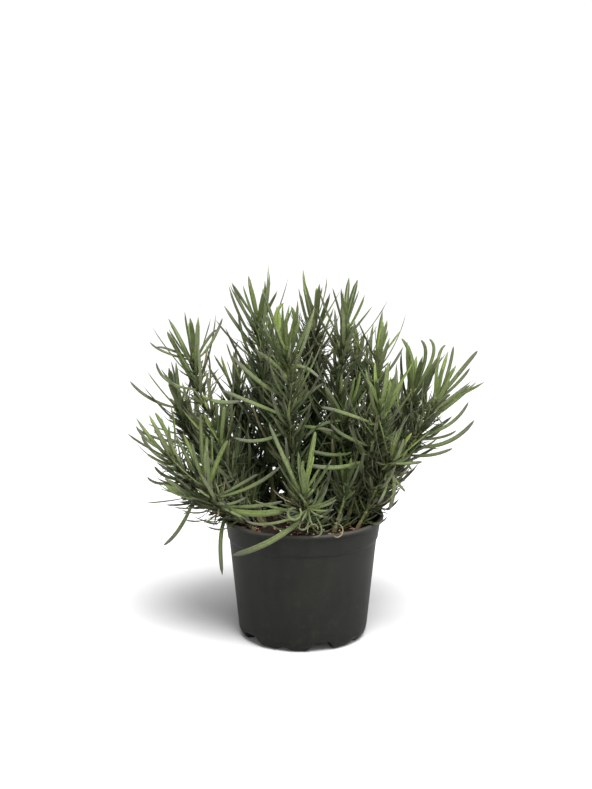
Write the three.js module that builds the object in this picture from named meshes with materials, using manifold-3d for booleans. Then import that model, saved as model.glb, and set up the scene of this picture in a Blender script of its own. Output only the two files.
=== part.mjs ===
// A young lavender plant in a round nursery pot, in millimetres, +Z up.
// The origin is the middle of the pot's foot. The viewer stands on the -Y side, with +X to the right.
// Nodes: the pot, the compost in it, and one solid for each leafy shoot that rises out of the compost.

import * as THREE from "three";
import { mergeVertices } from "three/addons/utils/BufferGeometryUtils.js";
import Module from "manifold-3d";

const wasm = await Module();
wasm.setup();

// ---- driving dimensions ----

const POT = {
  height: 100,
  rimRadius: 65, // outside of the rolled lip
  lipHeight: 3.5,
  collarTopRadius: 62.6,
  collarFootRadius: 60.6,
  collarHeight: 18,
  wallTopRadius: 59.4, // just under the collar's step
  wallFootRadius: 52.2, // where the wall turns in to the foot
  turnHeight: 9,
  footRadius: 45,
  footRingWidth: 4,
  floorHeight: 7,
  wall: 1.2,
  segments: 48,
};
const NOTCH = { count: 5, firstAngle: 17, radius: 10.5, centreHeight: -4.2 }; // drainage arches in the foot
const DIP = { radius: 8, centreHeight: -6 }; // a shallow dip halfway between two arches
const DRAIN_HOLE = { radius: 4.5, fromAxis: 33, sides: 12 };
const COMPOST = { wallLevel: 91, mound: 2.5, segments: 40 };
const GAP = 0.3; // air between two touching solids

const STEM_SIDE = 2.2; // lavender stems are square
const STEM_STEPS = 5;
const STEM_TURN = Math.PI / 5;
const LEAF = { width: 4.4, thickness: 1.2, widestAt: 0.42, taperAt: 0.75, taperWidth: 0.72 };
const CLEARANCE = 0.5; // a leaf is tested this much fatter than it is
const SHORTER = [1, 0.72, 0.5]; // lengths that a leaf tries before it is left out

// The open stretch of compost where water goes in: a leafless box between the rim and the stems.
const WATERING_SPACE = { low: [18, -50, 94.5], high: [34, -40, 112] };

// Where each shoot leaves the compost, where its stem ends, how far its tip leans out from upright
// (degrees), how many leaf pairs it has, how long its full-grown leaves are, and the bearing of its
// youngest pair (degrees).
const SHOOTS = [
  // the tall shoots of the crown
  { name: "crown_left", root: [-22, 7], tip: [-36, 10, 264], lean: 3, pairs: 8, leaf: 44, turn: 20 },
  { name: "crown_mid", root: [-10, 20], tip: [-20, 38, 234], lean: 5, pairs: 7, leaf: 42, turn: 60 },
  { name: "crown_back", root: [4, 26], tip: [9, 48, 258], lean: 4, pairs: 8, leaf: 42, turn: 15 },
  { name: "crown_right", root: [13, 6], tip: [34, 2, 258], lean: 6, pairs: 8, leaf: 44, turn: 0 },
  { name: "centre_front", root: [-6, -22], tip: [-12, -38, 246], lean: 2, pairs: 9, leaf: 46, turn: 35 },
  // the left side
  { name: "left_top", root: [-30, -3], tip: [-86, -8, 234], lean: 4, pairs: 8, leaf: 44, turn: 5 },
  { name: "left_outer", root: [-38, 8], tip: [-101, 14, 192], lean: 16, pairs: 7, leaf: 44, turn: 0 },
  { name: "left_low", root: [-41, -2], tip: [-107, -16, 160], lean: 20, pairs: 7, leaf: 41, turn: 10 },
  { name: "left_inner", root: [-30, -14], tip: [-66, -18, 168], lean: 4, pairs: 6, leaf: 38, turn: 50 },
  { name: "left_trailing", root: [-46, -12], tip: [-98, -18, 124], lean: 60, pairs: 4, leaf: 34, turn: 0 },
  { name: "front_left", root: [-38, -22], tip: [-75, -40, 142], lean: 2, pairs: 6, leaf: 44, turn: 20 },
  // the front and the right side
  { name: "front_centre", root: [6, -36], tip: [0, -71, 142], lean: 10, pairs: 6, leaf: 46, turn: 10 },
  { name: "front_right", root: [24, -26], tip: [34, -36, 140], lean: 10, pairs: 5, leaf: 26, turn: 40 },
  { name: "inner_right", root: [20, -12], tip: [34, -16, 196], lean: 4, pairs: 7, leaf: 34, turn: 30 },
  { name: "right_front", root: [33, -14], tip: [60, -40, 204], lean: 4, pairs: 8, leaf: 40, turn: 25 },
  { name: "right_low", root: [42, -20], tip: [70, -36, 160], lean: 14, pairs: 6, leaf: 34, turn: 0 },
  { name: "right_top", root: [30, 2], tip: [60, 8, 234], lean: 6, pairs: 8, leaf: 40, turn: 10 },
  { name: "right_high", root: [40, 0], tip: [88, -4, 208], lean: 10, pairs: 8, leaf: 42, turn: 15 },
  { name: "right_outer", root: [45, -10], tip: [107, -22, 203], lean: 25, pairs: 8, leaf: 45, turn: 0 },
  { name: "right_rim", root: [49, 2], tip: [70, 10, 150], lean: 14, pairs: 5, leaf: 30, turn: 0 },
  // the back
  { name: "back_right_top", root: [33, 14], tip: [74, 58, 184], lean: 10, pairs: 7, leaf: 34, turn: 45 },
  { name: "back_right_outer", root: [44, 16], tip: [86, 50, 172], lean: 14, pairs: 6, leaf: 34, turn: 0 },
  { name: "back_right_low", root: [37, 30], tip: [66, 76, 146], lean: 24, pairs: 6, leaf: 38, turn: 30 },
  { name: "back_right_inner", root: [23, 20], tip: [46, 62, 222], lean: 6, pairs: 7, leaf: 38, turn: 10 },
  { name: "back_centre", root: [6, 38], tip: [6, 74, 214], lean: 8, pairs: 7, leaf: 40, turn: 0 },
  { name: "back_centre_low", root: [16, 44], tip: [22, 73, 146], lean: 23, pairs: 6, leaf: 40, turn: 90 },
  { name: "back_left_inner", root: [-8, 32], tip: [-34, 74, 198], lean: 8, pairs: 6, leaf: 38, turn: 40 },
  { name: "back_left_top", root: [-22, 20], tip: [-56, 56, 198], lean: 6, pairs: 7, leaf: 36, turn: 20 },
  { name: "back_left_outer", root: [-36, 20], tip: [-94, 54, 172], lean: 18, pairs: 6, leaf: 38, turn: 10 },
  { name: "back_left_low", root: [-24, 36], tip: [-58, 74, 142], lean: 22, pairs: 6, leaf: 38, turn: 60 },
];

// Long leaves that hang or stray from the rest: the stem's share of the way up where each one grows,
// a point it passes, and where it ends.
const STRAY_LEAVES = [
  { shoot: "front_centre", from: 0.26, via: [-20, -67, 104], to: [-55, -50, 78] },
  { shoot: "front_left", from: 0.55, via: [-42, -48, 111], to: [-13, -60, 119] },
  { shoot: "left_trailing", from: 0.42, via: [-72, -26, 98], to: [-66, -33, 60] },
  { shoot: "left_trailing", from: 0.8, via: [-98, -18, 98], to: [-112, -18, 78] },
  { shoot: "right_low", from: 0.55, via: [72, -34, 126], to: [68, -40, 108] },
];

// ---- solids from three.js geometry ----

/** A manifold-3d solid of a closed three.js geometry. */
function solidOf(geometry) {
  const plain = geometry.index ? geometry.toNonIndexed() : geometry.clone();
  for (const name of Object.keys(plain.attributes)) {
    if (name !== "position") plain.deleteAttribute(name);
  }
  const merged = mergeVertices(plain, 1e-3);
  return new wasm.Manifold(
    new wasm.Mesh({
      numProp: 3,
      vertProperties: merged.attributes.position.array,
      triVerts: new Uint32Array(merged.index.array),
    }),
  );
}

/** A three.js geometry of a manifold-3d solid. */
function geometryOf(solid) {
  const mesh = solid.getMesh();
  return new THREE.BufferGeometry()
    .setAttribute("position", new THREE.BufferAttribute(new Float32Array(mesh.vertProperties), 3))
    .setIndex(new THREE.BufferAttribute(new Uint32Array(mesh.triVerts), 1));
}

/** A lathe about +Z of a profile of [radius, height] pairs. */
function turned(profile, segments) {
  const points = profile.map(([radius, height]) => new THREE.Vector2(radius, height));
  return new THREE.LatheGeometry(points, segments).rotateX(Math.PI / 2);
}

/** A straight bar of a round section that lies along a bearing, from the axis outwards. */
function radialBar(radius, bearing, height, from, to, sides = 16) {
  return new THREE.CylinderGeometry(radius, radius, to - from, sides)
    .rotateZ(Math.PI / 2)
    .translate((from + to) / 2, 0, 0)
    .rotateZ(bearing)
    .translate(0, 0, height);
}

/** A finished mesh with its name and material. */
function namedMesh(name, geometry, material) {
  const mesh = new THREE.Mesh(geometry, material);
  mesh.name = name;
  return mesh;
}

// ---- the pot and the compost ----

const toBearing = (degrees) => THREE.MathUtils.degToRad(degrees - 90); // 0 degrees faces the viewer

/** The pot: a thin tapered wall with a collar and a rolled lip, on a scalloped foot ring. */
function potSolid() {
  const p = POT;
  const collarFoot = p.height - p.collarHeight;
  const footInside = p.footRadius - p.footRingWidth;
  const profile = [
    [0, p.floorHeight - p.wall],
    [footInside, p.floorHeight - p.wall],
    [footInside, 0],
    [p.footRadius, 0],
    [(p.footRadius + p.wallFootRadius) / 2 + 1.6, p.turnHeight * 0.35],
    [p.wallFootRadius, p.turnHeight],
    [p.wallTopRadius, collarFoot - 1],
    [p.collarFootRadius, collarFoot],
    [p.collarTopRadius, p.height - p.lipHeight],
    [p.rimRadius - 0.3, p.height - p.lipHeight],
    [p.rimRadius, p.height - p.lipHeight / 2],
    [p.rimRadius - 0.8, p.height],
    [p.collarTopRadius - p.wall, p.height],
    [p.collarFootRadius - p.wall, collarFoot],
    [p.wallTopRadius - p.wall, collarFoot - 1],
    [p.wallFootRadius - p.wall, p.turnHeight],
    [p.wallFootRadius - 4, p.floorHeight],
    [0, p.floorHeight],
  ];
  let pot = solidOf(turned(profile, p.segments));
  const pitch = 360 / NOTCH.count;
  for (let i = 0; i < NOTCH.count; i++) {
    const arch = toBearing(NOTCH.firstAngle + i * pitch);
    const dip = toBearing(NOTCH.firstAngle + (i + 0.5) * pitch);
    const hole = new THREE.CylinderGeometry(
      DRAIN_HOLE.radius, DRAIN_HOLE.radius, 4 * p.wall, DRAIN_HOLE.sides,
    )
      .rotateX(Math.PI / 2)
      .translate(DRAIN_HOLE.fromAxis, 0, p.floorHeight - p.wall / 2)
      .rotateZ(arch);
    pot = pot
      .subtract(solidOf(radialBar(NOTCH.radius, arch, NOTCH.centreHeight, footInside - 3, p.rimRadius)))
      .subtract(solidOf(radialBar(DIP.radius, dip, DIP.centreHeight, footInside - 3, p.rimRadius)))
      .subtract(solidOf(hole));
  }
  return pot;
}

/** The height of the compost at a distance from the pot's axis. */
function compostLevel(fromAxis) {
  const share = Math.min(fromAxis / POT.collarFootRadius, 1);
  return COMPOST.wallLevel + COMPOST.mound * (1 - share * share);
}

/** The compost: it fills the pot to just under the rim, with a low mound in the middle. */
function compostSolid() {
  const p = POT;
  const collarFoot = p.height - p.collarHeight;
  const inside = p.wall + GAP + 0.15; // the flats of the pot's wall cut inside its circle
  const topRadius = p.collarFootRadius + (COMPOST.wallLevel - collarFoot) * 0.1 - inside;
  const profile = [
    [0, p.floorHeight + GAP],
    [p.wallFootRadius - 4 - GAP * 2, p.floorHeight + GAP],
    [p.wallFootRadius - inside, p.turnHeight + 0.6],
    [p.wallTopRadius - inside, collarFoot - 1],
    [p.collarFootRadius - inside, collarFoot],
    [topRadius, COMPOST.wallLevel],
    [topRadius * 0.6, compostLevel(topRadius * 0.6)],
    [0, compostLevel(0)],
  ];
  return solidOf(turned(profile, COMPOST.segments));
}

// ---- the shoots ----

/** The stem's line: up out of the compost, outwards, and up again towards the light. */
function stemCurve({ root, tip, lean }) {
  const start = new THREE.Vector3(root[0], root[1], compostLevel(Math.hypot(...root)) - 1);
  const end = new THREE.Vector3(...tip);
  const rise = end.z - start.z;
  const outwards = new THREE.Vector3(end.x - start.x, end.y - start.y, 0);
  const reach = outwards.length();
  const angle = THREE.MathUtils.degToRad(lean);
  const heading = outwards.clone().normalize().multiplyScalar(Math.sin(angle));
  heading.z = Math.cos(angle);
  const afterStart = start
    .clone()
    .addScaledVector(outwards, 0.22)
    .add(new THREE.Vector3(0, 0, Math.max(0.34 * rise, Math.min(reach * 0.5, 22))));
  const beforeEnd = end.clone().addScaledVector(heading, -0.36 * Math.hypot(rise, reach));
  return new THREE.CubicBezierCurve3(start, afterStart, beforeEnd, end);
}

/** A square stem of one thickness along its line. */
function stemSolid(curve) {
  const half = STEM_SIDE / 2;
  const section = new THREE.Shape(
    [[-half, -half], [half, -half], [half, half], [-half, half]].map(([x, y]) => new THREE.Vector2(x, y)),
  );
  return solidOf(new THREE.ExtrudeGeometry(section, { steps: STEM_STEPS, extrudePath: curve }));
}

/** How long a leaf of this age is, as a share of a full-grown one. Age runs from 0 at the tip to 1. */
function lengthShare(age) {
  return 0.74 + 0.26 * Math.sin((Math.min(age / 0.4, 1) * Math.PI) / 2) - 0.3 * Math.max(age - 0.6, 0);
}

/** A leaf's line: it leaves the stem at one angle and bends to another as it grows. */
function leafCurve({ foot, along, across }, length, age) {
  const base = THREE.MathUtils.degToRad(8 + 70 * age ** 0.75);
  const tip = base * (0.9 - 0.35 * age);
  const middle = foot
    .clone()
    .addScaledVector(along, (Math.cos(base) * length) / 2)
    .addScaledVector(across, (Math.sin(base) * length) / 2);
  const end = middle
    .clone()
    .addScaledVector(along, (Math.cos(tip) * length) / 2)
    .addScaledVector(across, (Math.sin(tip) * length) / 2);
  return new THREE.QuadraticBezierCurve3(foot, middle, end);
}

/** A closed leaf: a flattened four-sided spindle laid along a line, its blade square to `upper`. */
function leafSolid(curve, upper, extra = 0) {
  const width = LEAF.width / 2 + extra;
  const profile = [
    [0, 0],
    [width, LEAF.widestAt],
    [width * LEAF.taperWidth, LEAF.taperAt],
    [0, 1],
  ];
  const geometry = turned(profile, 4).scale(1, (LEAF.thickness / 2 + extra) / width, 1);
  const place = geometry.attributes.position;
  for (let i = 0; i < place.count; i++) {
    const share = Math.min(Math.max(place.getZ(i), 0), 1);
    const tangent = curve.getTangent(share);
    const side = new THREE.Vector3().crossVectors(upper, tangent).normalize();
    const face = new THREE.Vector3().crossVectors(tangent, side);
    const point = curve
      .getPoint(share)
      .addScaledVector(side, place.getX(i))
      .addScaledVector(face, place.getY(i));
    place.setXYZ(i, point.x, point.y, point.z);
  }
  return solidOf(geometry);
}

/** Where each leaf of a shoot grows: opposite pairs, each pair a quarter turn on from the last. */
function leafPlaces(shoot, curve) {
  const leafy = Math.min(0.84, 120 / curve.getLength());
  const places = [];
  for (let pair = 0; pair < shoot.pairs; pair++) {
    const age = pair / (shoot.pairs - 1);
    const at = 1 - leafy * (0.015 + 0.985 * age ** 1.5);
    const foot = curve.getPointAt(at);
    const along = curve.getTangentAt(at);
    for (const half of [0, 1]) {
      const bearing = THREE.MathUtils.degToRad(shoot.turn + 90 * pair + 180 * half) + STEM_TURN * age;
      const across = new THREE.Vector3(Math.cos(bearing), Math.sin(bearing), 0);
      across.addScaledVector(along, -across.dot(along)).normalize();
      places.push({ foot, along, across, age });
    }
  }
  return places;
}

/** The lines a leaf tries, the longest first, and the direction that its upper face looks. */
function ruledLeaf(shoot, place) {
  const full = shoot.leaf * lengthShare(place.age);
  return { upper: place.along, lines: SHORTER.map((share) => leafCurve(place, full * share, place.age)) };
}

/** A long leaf that hangs or strays away from the rule, from its stem through one point to its end. */
function strayLeaf(stray, curve) {
  const foot = curve.getPointAt(stray.from);
  const [via, end] = [stray.via, stray.to].map((point) => new THREE.Vector3(...point));
  return { upper: new THREE.Vector3(0, 0, 1), lines: [new THREE.CatmullRomCurve3([foot, via, end])] };
}

/** True where a solid shares any space with one of the others. */
function touches(solid, others) {
  const box = solid.boundingBox();
  return others.some(({ solid: other, box: far }) => {
    const apart = [0, 1, 2].some((k) => box.min[k] > far.max[k] || box.max[k] < far.min[k]);
    return !apart && solid.intersect(other).volume() > 0;
  });
}

/** True for one body with no closed pocket of air in it and no sliver narrower than the mesh's grain. */
function wellFormed(solid) {
  if (solid.decompose().length > 1) return false;
  const corners = mergeVertices(geometryOf(solid), 2e-3).index.array;
  for (let i = 0; i < corners.length; i += 3) {
    const [a, b, c] = [corners[i], corners[i + 1], corners[i + 2]];
    if (a === b || b === c || c === a) return false;
  }
  return true;
}

const claimed = (solid, owner) => ({ solid, owner, box: solid.boundingBox() });

/** Every shoot as one solid: its stem, and each of its leaves that has room. */
function shootSolids(compost, taken) {
  const ground = compost.translate(0, 0, GAP);
  const stems = SHOOTS.map((shoot) => {
    const curve = stemCurve(shoot);
    return { shoot, curve, solid: stemSolid(curve).subtract(ground) };
  });
  taken.push(...stems.map(({ shoot, solid }) => claimed(solid, shoot)));

  const addLeaf = (stem, { lines, upper }) => {
    const others = taken.filter(({ owner }) => owner !== stem.shoot);
    const line = lines.find((choice) => !touches(leafSolid(choice, upper, CLEARANCE), others));
    if (!line) return false;
    const leaf = leafSolid(line, upper);
    const grown = stem.solid.add(leaf);
    if (!wellFormed(grown)) return false;
    taken.push(claimed(leaf, stem.shoot));
    stem.solid = grown;
    return true;
  };

  for (const stray of STRAY_LEAVES) {
    const stem = stems.find(({ shoot }) => shoot.name === stray.shoot);
    if (!addLeaf(stem, strayLeaf(stray, stem.curve))) throw new Error(`no room: ${stray.shoot}`);
  }
  for (const stem of stems) {
    for (const place of leafPlaces(stem.shoot, stem.curve)) addLeaf(stem, ruledLeaf(stem.shoot, place));
  }
  return stems.map(({ shoot, solid }) => ({ name: shoot.name, solid }));
}

// ---- the object ----

const potPlastic = new THREE.MeshStandardMaterial({ color: 0x33332f, roughness: 0.55, metalness: 0 });
const darkCompost = new THREE.MeshStandardMaterial({ color: 0x2c211b, roughness: 1, metalness: 0 });
const greyGreen = new THREE.MeshStandardMaterial({ color: 0x6f8052, roughness: 0.7, metalness: 0 });

const pot = potSolid();
const compost = compostSolid();
const wateringBox = new THREE.BoxGeometry(
  ...WATERING_SPACE.high.map((high, k) => high - WATERING_SPACE.low[k]),
).translate(...WATERING_SPACE.high.map((high, k) => (high + WATERING_SPACE.low[k]) / 2));
const shoots = shootSolids(compost, [claimed(pot), claimed(compost), claimed(solidOf(wateringBox))]);

const pottedLavender = new THREE.Group();
pottedLavender.add(namedMesh("pot", geometryOf(pot), potPlastic));
pottedLavender.add(namedMesh("compost", geometryOf(compost), darkCompost));
for (const { name, solid } of shoots) {
  pottedLavender.add(namedMesh(`shoot_${name}`, geometryOf(solid), greyGreen));
}

export default pottedLavender;
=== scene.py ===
"""A young lavender plant in a round nursery pot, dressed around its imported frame.

The frame gives the pot, the compost and one solid for each shoot. Here each of them is replaced by
a finished piece: a moulded pot, a crumbly bed of compost with its litter, and leafy shoots that
Geometry Nodes grow from the same roots and tips as the solids.
"""

from __future__ import annotations

import logging
import math
from collections.abc import Iterable
from dataclasses import dataclass
from enum import Enum

import bpy
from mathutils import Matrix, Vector, noise


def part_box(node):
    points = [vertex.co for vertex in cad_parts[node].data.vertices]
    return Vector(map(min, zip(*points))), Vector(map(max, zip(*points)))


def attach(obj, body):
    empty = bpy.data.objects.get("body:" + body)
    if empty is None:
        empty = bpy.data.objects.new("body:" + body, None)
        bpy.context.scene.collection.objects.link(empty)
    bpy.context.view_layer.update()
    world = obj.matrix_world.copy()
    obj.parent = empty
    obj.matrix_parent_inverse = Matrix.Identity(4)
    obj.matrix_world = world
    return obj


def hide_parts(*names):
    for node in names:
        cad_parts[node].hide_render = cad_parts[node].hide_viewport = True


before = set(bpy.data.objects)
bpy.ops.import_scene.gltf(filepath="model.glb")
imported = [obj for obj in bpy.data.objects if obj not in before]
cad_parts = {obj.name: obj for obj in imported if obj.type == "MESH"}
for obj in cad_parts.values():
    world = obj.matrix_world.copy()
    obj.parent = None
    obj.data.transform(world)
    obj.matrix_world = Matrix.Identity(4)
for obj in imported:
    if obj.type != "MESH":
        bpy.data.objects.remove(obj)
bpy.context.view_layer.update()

log = logging.getLogger("potted_lavender")

Pair = tuple[float, float]
Triple = tuple[float, float, float]
MM = 0.001
ROOT_BODY = "root"

POT_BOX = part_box("pot")
RIM_RADIUS, RIM_LEVEL = POT_BOX[1][0], POT_BOX[1][2]
COMPOST_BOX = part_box("compost")
COMPOST_FALL = 2.5 * MM  # the compost's edge lies this much lower than its middle
COMPOST_REACH = 60.6 * MM


# ---------------------------------------------------------------------------------------------
# Node trees
# ---------------------------------------------------------------------------------------------


class Wiring:
    """Adds nodes to one node tree and links them."""

    def __init__(self, tree: bpy.types.NodeTree) -> None:
        """Keep the tree that the nodes go into.

        Args:
            tree: A geometry or shader node tree.
        """
        self.tree = tree

    def feed(self, socket: bpy.types.NodeSocket, value: object) -> None:
        """Link an output to an input, or set the input's own value.

        Args:
            socket: The input.
            value: An output socket, a number, a tuple or a data-block.
        """
        if isinstance(value, bpy.types.NodeSocket):
            self.tree.links.new(value, socket)
        elif value is not None:
            socket.default_value = value

    def add(
        self, kind: str, inputs: dict[str | int, object] | None = None, **settings: object
    ) -> bpy.types.Node:
        """Add one node.

        Args:
            kind: The node's type name.
            inputs: What each input gets, by its name or its number.
            **settings: The node's own properties.

        Returns:
            The new node.
        """
        node = self.tree.nodes.new(kind)
        for name, value in settings.items():
            setattr(node, name, value)
        for key, value in (inputs or {}).items():
            self.feed(node.inputs[key], value)
        return node

    def made(
        self, kind: str, inputs: dict[str | int, object] | None = None, **settings: object
    ) -> bpy.types.NodeSocket:
        """Add one node, as add() does, and give its first output."""
        return self.add(kind, inputs, **settings).outputs[0]

    def math(self, operation: str, *values: object) -> bpy.types.NodeSocket:
        """Add a Math node.

        Args:
            operation: The Math node's operation.
            *values: Its operands.

        Returns:
            The node's result.
        """
        return self.made("ShaderNodeMath", dict(enumerate(values)), operation=operation)

    def plus(self, first: object, second: object) -> bpy.types.NodeSocket:
        """Add two numbers."""
        return self.math("ADD", first, second)

    def minus(self, first: object, second: object) -> bpy.types.NodeSocket:
        """Take the second number from the first."""
        return self.math("SUBTRACT", first, second)

    def times(self, first: object, *others: object) -> bpy.types.NodeSocket:
        """Multiply numbers, one after another."""
        for other in others:
            first = self.math("MULTIPLY", first, other)
        return first

    def vector(self, operation: str, *values: object) -> bpy.types.NodeSocket:
        """Add a Vector Math node.

        Args:
            operation: The Vector Math node's operation.
            *values: Its operands; the last one is the factor of a SCALE.

        Returns:
            The node's result, a number for DOT_PRODUCT and LENGTH.
        """
        node = self.add("ShaderNodeVectorMath", operation=operation)
        if operation == "SCALE":
            self.feed(node.inputs[0], values[0])
            self.feed(node.inputs["Scale"], values[1])
        else:
            for number, value in enumerate(values):
                self.feed(node.inputs[number], value)
        number_out = operation in {"DOT_PRODUCT", "LENGTH"}
        return node.outputs["Value" if number_out else "Vector"]

    def swung(self, first: object, second: object, angle: object) -> bpy.types.NodeSocket:
        """Turn one direction towards another.

        Args:
            first: The direction at no angle.
            second: The direction at a right angle.
            angle: How far to turn, in radians.

        Returns:
            The direction between them.
        """
        return self.vector(
            "ADD", self.vector("SCALE", first, self.math("COSINE", angle)),
            self.vector("SCALE", second, self.math("SINE", angle)),
        )

    def parts(self, vector: object) -> bpy.types.bpy_prop_collection:
        """Take a vector apart into its three numbers."""
        return self.add("ShaderNodeSeparateXYZ", {0: vector}).outputs

    def total(self, *values: object) -> bpy.types.NodeSocket:
        """Add vectors up.

        Args:
            *values: Two or more vectors.

        Returns:
            Their sum.
        """
        result = values[0]
        for value in values[1:]:
            result = self.vector("ADD", result, value)
        return result

    def xyz(self, x: object = 0.0, y: object = 0.0, z: object = 0.0) -> bpy.types.NodeSocket:
        """Make a vector of three numbers.

        Args:
            x: Its first part.
            y: Its second part.
            z: Its third part.

        Returns:
            The vector.
        """
        return self.made("ShaderNodeCombineXYZ", {0: x, 1: y, 2: z})

    def mapped(
        self, value: object, low: object, high: object, to_low: object, to_high: object,
        smooth: bool = False,
    ) -> bpy.types.NodeSocket:
        """Carry a number from one range over to another.

        Args:
            value: The number.
            low: Where its range starts.
            high: Where its range ends.
            to_low: What the start becomes.
            to_high: What the end becomes.
            smooth: True for a smooth step.

        Returns:
            The carried number, kept inside the new range.
        """
        node = self.add(
            "ShaderNodeMapRange",
            dict(enumerate((value, low, high, to_low, to_high))),
            interpolation_type="SMOOTHSTEP" if smooth else "LINEAR",
        )
        return node.outputs[0]

    def shaped(self, value: object, points: Iterable[Pair]) -> bpy.types.NodeSocket:
        """Carry a number through a drawn curve.

        Args:
            value: The number, from 0 to 1.
            points: The curve's points, from left to right.

        Returns:
            The curve's height there.
        """
        node = self.add("ShaderNodeFloatCurve", {"Value": value})
        curve = node.mapping.curves[0]
        first, *between, last = points
        curve.points[0].location, curve.points[-1].location = first, last
        for x, y in between:
            curve.points.new(x, y)
        node.mapping.update()
        return node.outputs[0]


class GeometryTree(Wiring):
    """One geometry node tree with named inputs."""

    SOCKETS = {
        "geometry": "NodeSocketGeometry", "number": "NodeSocketFloat", "count": "NodeSocketInt",
        "vector": "NodeSocketVector", "material": "NodeSocketMaterial",
    }

    def __init__(
        self, name: str, inputs: dict[str, str], outputs: dict[str, str] | None = None
    ) -> None:
        """Make an empty tree.

        Args:
            name: The tree's name.
            inputs: Its inputs' names, each with its kind.
            outputs: Its outputs' names, each with its kind; one geometry if left out.
        """
        super().__init__(bpy.data.node_groups.new(name, "GeometryNodeTree"))
        for label, kind in inputs.items():
            self.tree.interface.new_socket(label, in_out="INPUT", socket_type=self.SOCKETS[kind])
        for label, kind in (outputs or {"Geometry": "geometry"}).items():
            self.tree.interface.new_socket(label, in_out="OUTPUT", socket_type=self.SOCKETS[kind])
        self.given = self.add("NodeGroupInput").outputs
        self.result = self.add("NodeGroupOutput").inputs

    def use(self, other: GeometryTree, inputs: dict[str, object]) -> bpy.types.Node:
        """Add another tree as one node.

        Args:
            other: The tree to use.
            inputs: What its inputs get.

        Returns:
            The group's node.
        """
        node = self.tree.nodes.new("GeometryNodeGroup")
        node.node_tree = other.tree
        for key, value in inputs.items():
            self.feed(node.inputs[key], value)
        return node

    def chance(self, low: float, high: float, seed: object, salt: int) -> bpy.types.NodeSocket:
        """A random number for each element.

        Args:
            low: The least it can be.
            high: The most it can be.
            seed: The tree's own seed.
            salt: A number that tells this draw from the others.

        Returns:
            The random number.
        """
        node = self.add("FunctionNodeRandomValue", data_type="FLOAT")
        floats = [s for s in node.inputs if s.type == "VALUE"]
        floats[0].default_value, floats[1].default_value = low, high
        self.feed(node.inputs["Seed"], self.math("ADD", seed, salt))
        return next(s for s in node.outputs if s.type == "VALUE")

    def store(
        self, geometry: object, name: str, value: object, kind: str = "FLOAT"
    ) -> bpy.types.NodeSocket:
        """Store a named attribute on each point.

        Args:
            geometry: The geometry.
            name: The attribute's name.
            value: What it holds.
            kind: FLOAT or FLOAT_VECTOR.

        Returns:
            The geometry with its attribute.
        """
        node = self.add("GeometryNodeStoreNamedAttribute", data_type=kind, domain="POINT")
        self.feed(node.inputs["Geometry"], geometry)
        self.feed(node.inputs["Name"], name)
        self.feed(node.inputs["Value"], value)
        return node.outputs[0]

    def stored(self, name: str, kind: str = "FLOAT") -> bpy.types.NodeSocket:
        """Read a named attribute.

        Args:
            name: The attribute's name.
            kind: FLOAT or FLOAT_VECTOR.

        Returns:
            What it holds.
        """
        node = self.add("GeometryNodeInputNamedAttribute", {"Name": name}, data_type=kind)
        return node.outputs["Attribute"]

    def index(self) -> bpy.types.NodeSocket:
        """The number of each element."""
        return self.made("GeometryNodeInputIndex")

    def here(self) -> bpy.types.NodeSocket:
        """The place of each point."""
        return self.made("GeometryNodeInputPosition")

    def factor(self) -> bpy.types.NodeSocket:
        """How far along its curve each point is, from 0 to 1."""
        return self.add("GeometryNodeSplineParameter").outputs["Factor"]

    def moved(self, geometry: object, **how: object) -> bpy.types.NodeSocket:
        """Move points to a Position or by an Offset."""
        return self.made("GeometryNodeSetPosition", {"Geometry": geometry, **how})

    def wander(self, per_metre: float, most: object) -> bpy.types.NodeSocket:
        """A smooth random shift.

        Args:
            per_metre: How many swings to a metre.
            most: How far it goes at most.

        Returns:
            The shift at each point.
        """
        swing = self.add(
            "ShaderNodeTexNoise", {"Vector": self.here(), "Scale": per_metre, "Detail": 1.0}
        ).outputs[1]
        return self.vector("SCALE", self.vector("SUBTRACT", swing, (0.5, 0.5, 0.5)), most)

    def strewn(self, points: object, **what: object) -> bpy.types.NodeSocket:
        """Put an Instance on each point and make them all real."""
        laid = self.made("GeometryNodeInstanceOnPoints", {"Points": points, **what})
        return self.made("GeometryNodeRealizeInstances", {0: laid})

    def smoothed(self, geometry: object) -> bpy.types.NodeSocket:
        """Shade a geometry smooth."""
        return self.made("GeometryNodeSetShadeSmooth", {"Geometry": geometry})

    def finished(self, geometry: object) -> None:
        """End the tree with real geometry in the tree's own Finish.

        Args:
            geometry: What the tree has made.
        """
        real = self.made("GeometryNodeRealizeInstances", {0: geometry})
        dressed = {"Geometry": real, "Material": self.given["Finish"]}
        self.feed(self.result["Geometry"], self.made("GeometryNodeSetMaterial", dressed))

    def grow(self, name: str, inputs: dict[str, object]) -> bpy.types.Mesh:
        """Run the tree once and keep what it makes.

        Args:
            name: The mesh's name.
            inputs: What the tree's named inputs get.

        Returns:
            A plain mesh.
        """
        host = bpy.data.objects.new(name, bpy.data.meshes.new(name + "_host"))
        bpy.context.scene.collection.objects.link(host)
        modifier = host.modifiers.new("growth", "NODES")
        modifier.node_group = self.tree
        sockets = {
            item.name: item.identifier
            for item in self.tree.interface.items_tree
            if item.item_type == "SOCKET" and item.in_out == "INPUT"
        }
        for label, value in inputs.items():
            modifier[sockets[label]] = value
        depsgraph = bpy.context.evaluated_depsgraph_get()
        mesh = bpy.data.meshes.new_from_object(host.evaluated_get(depsgraph))
        mesh.name = name
        bpy.data.objects.remove(host)
        return mesh


# ---------------------------------------------------------------------------------------------
# Finishes
# ---------------------------------------------------------------------------------------------


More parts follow.
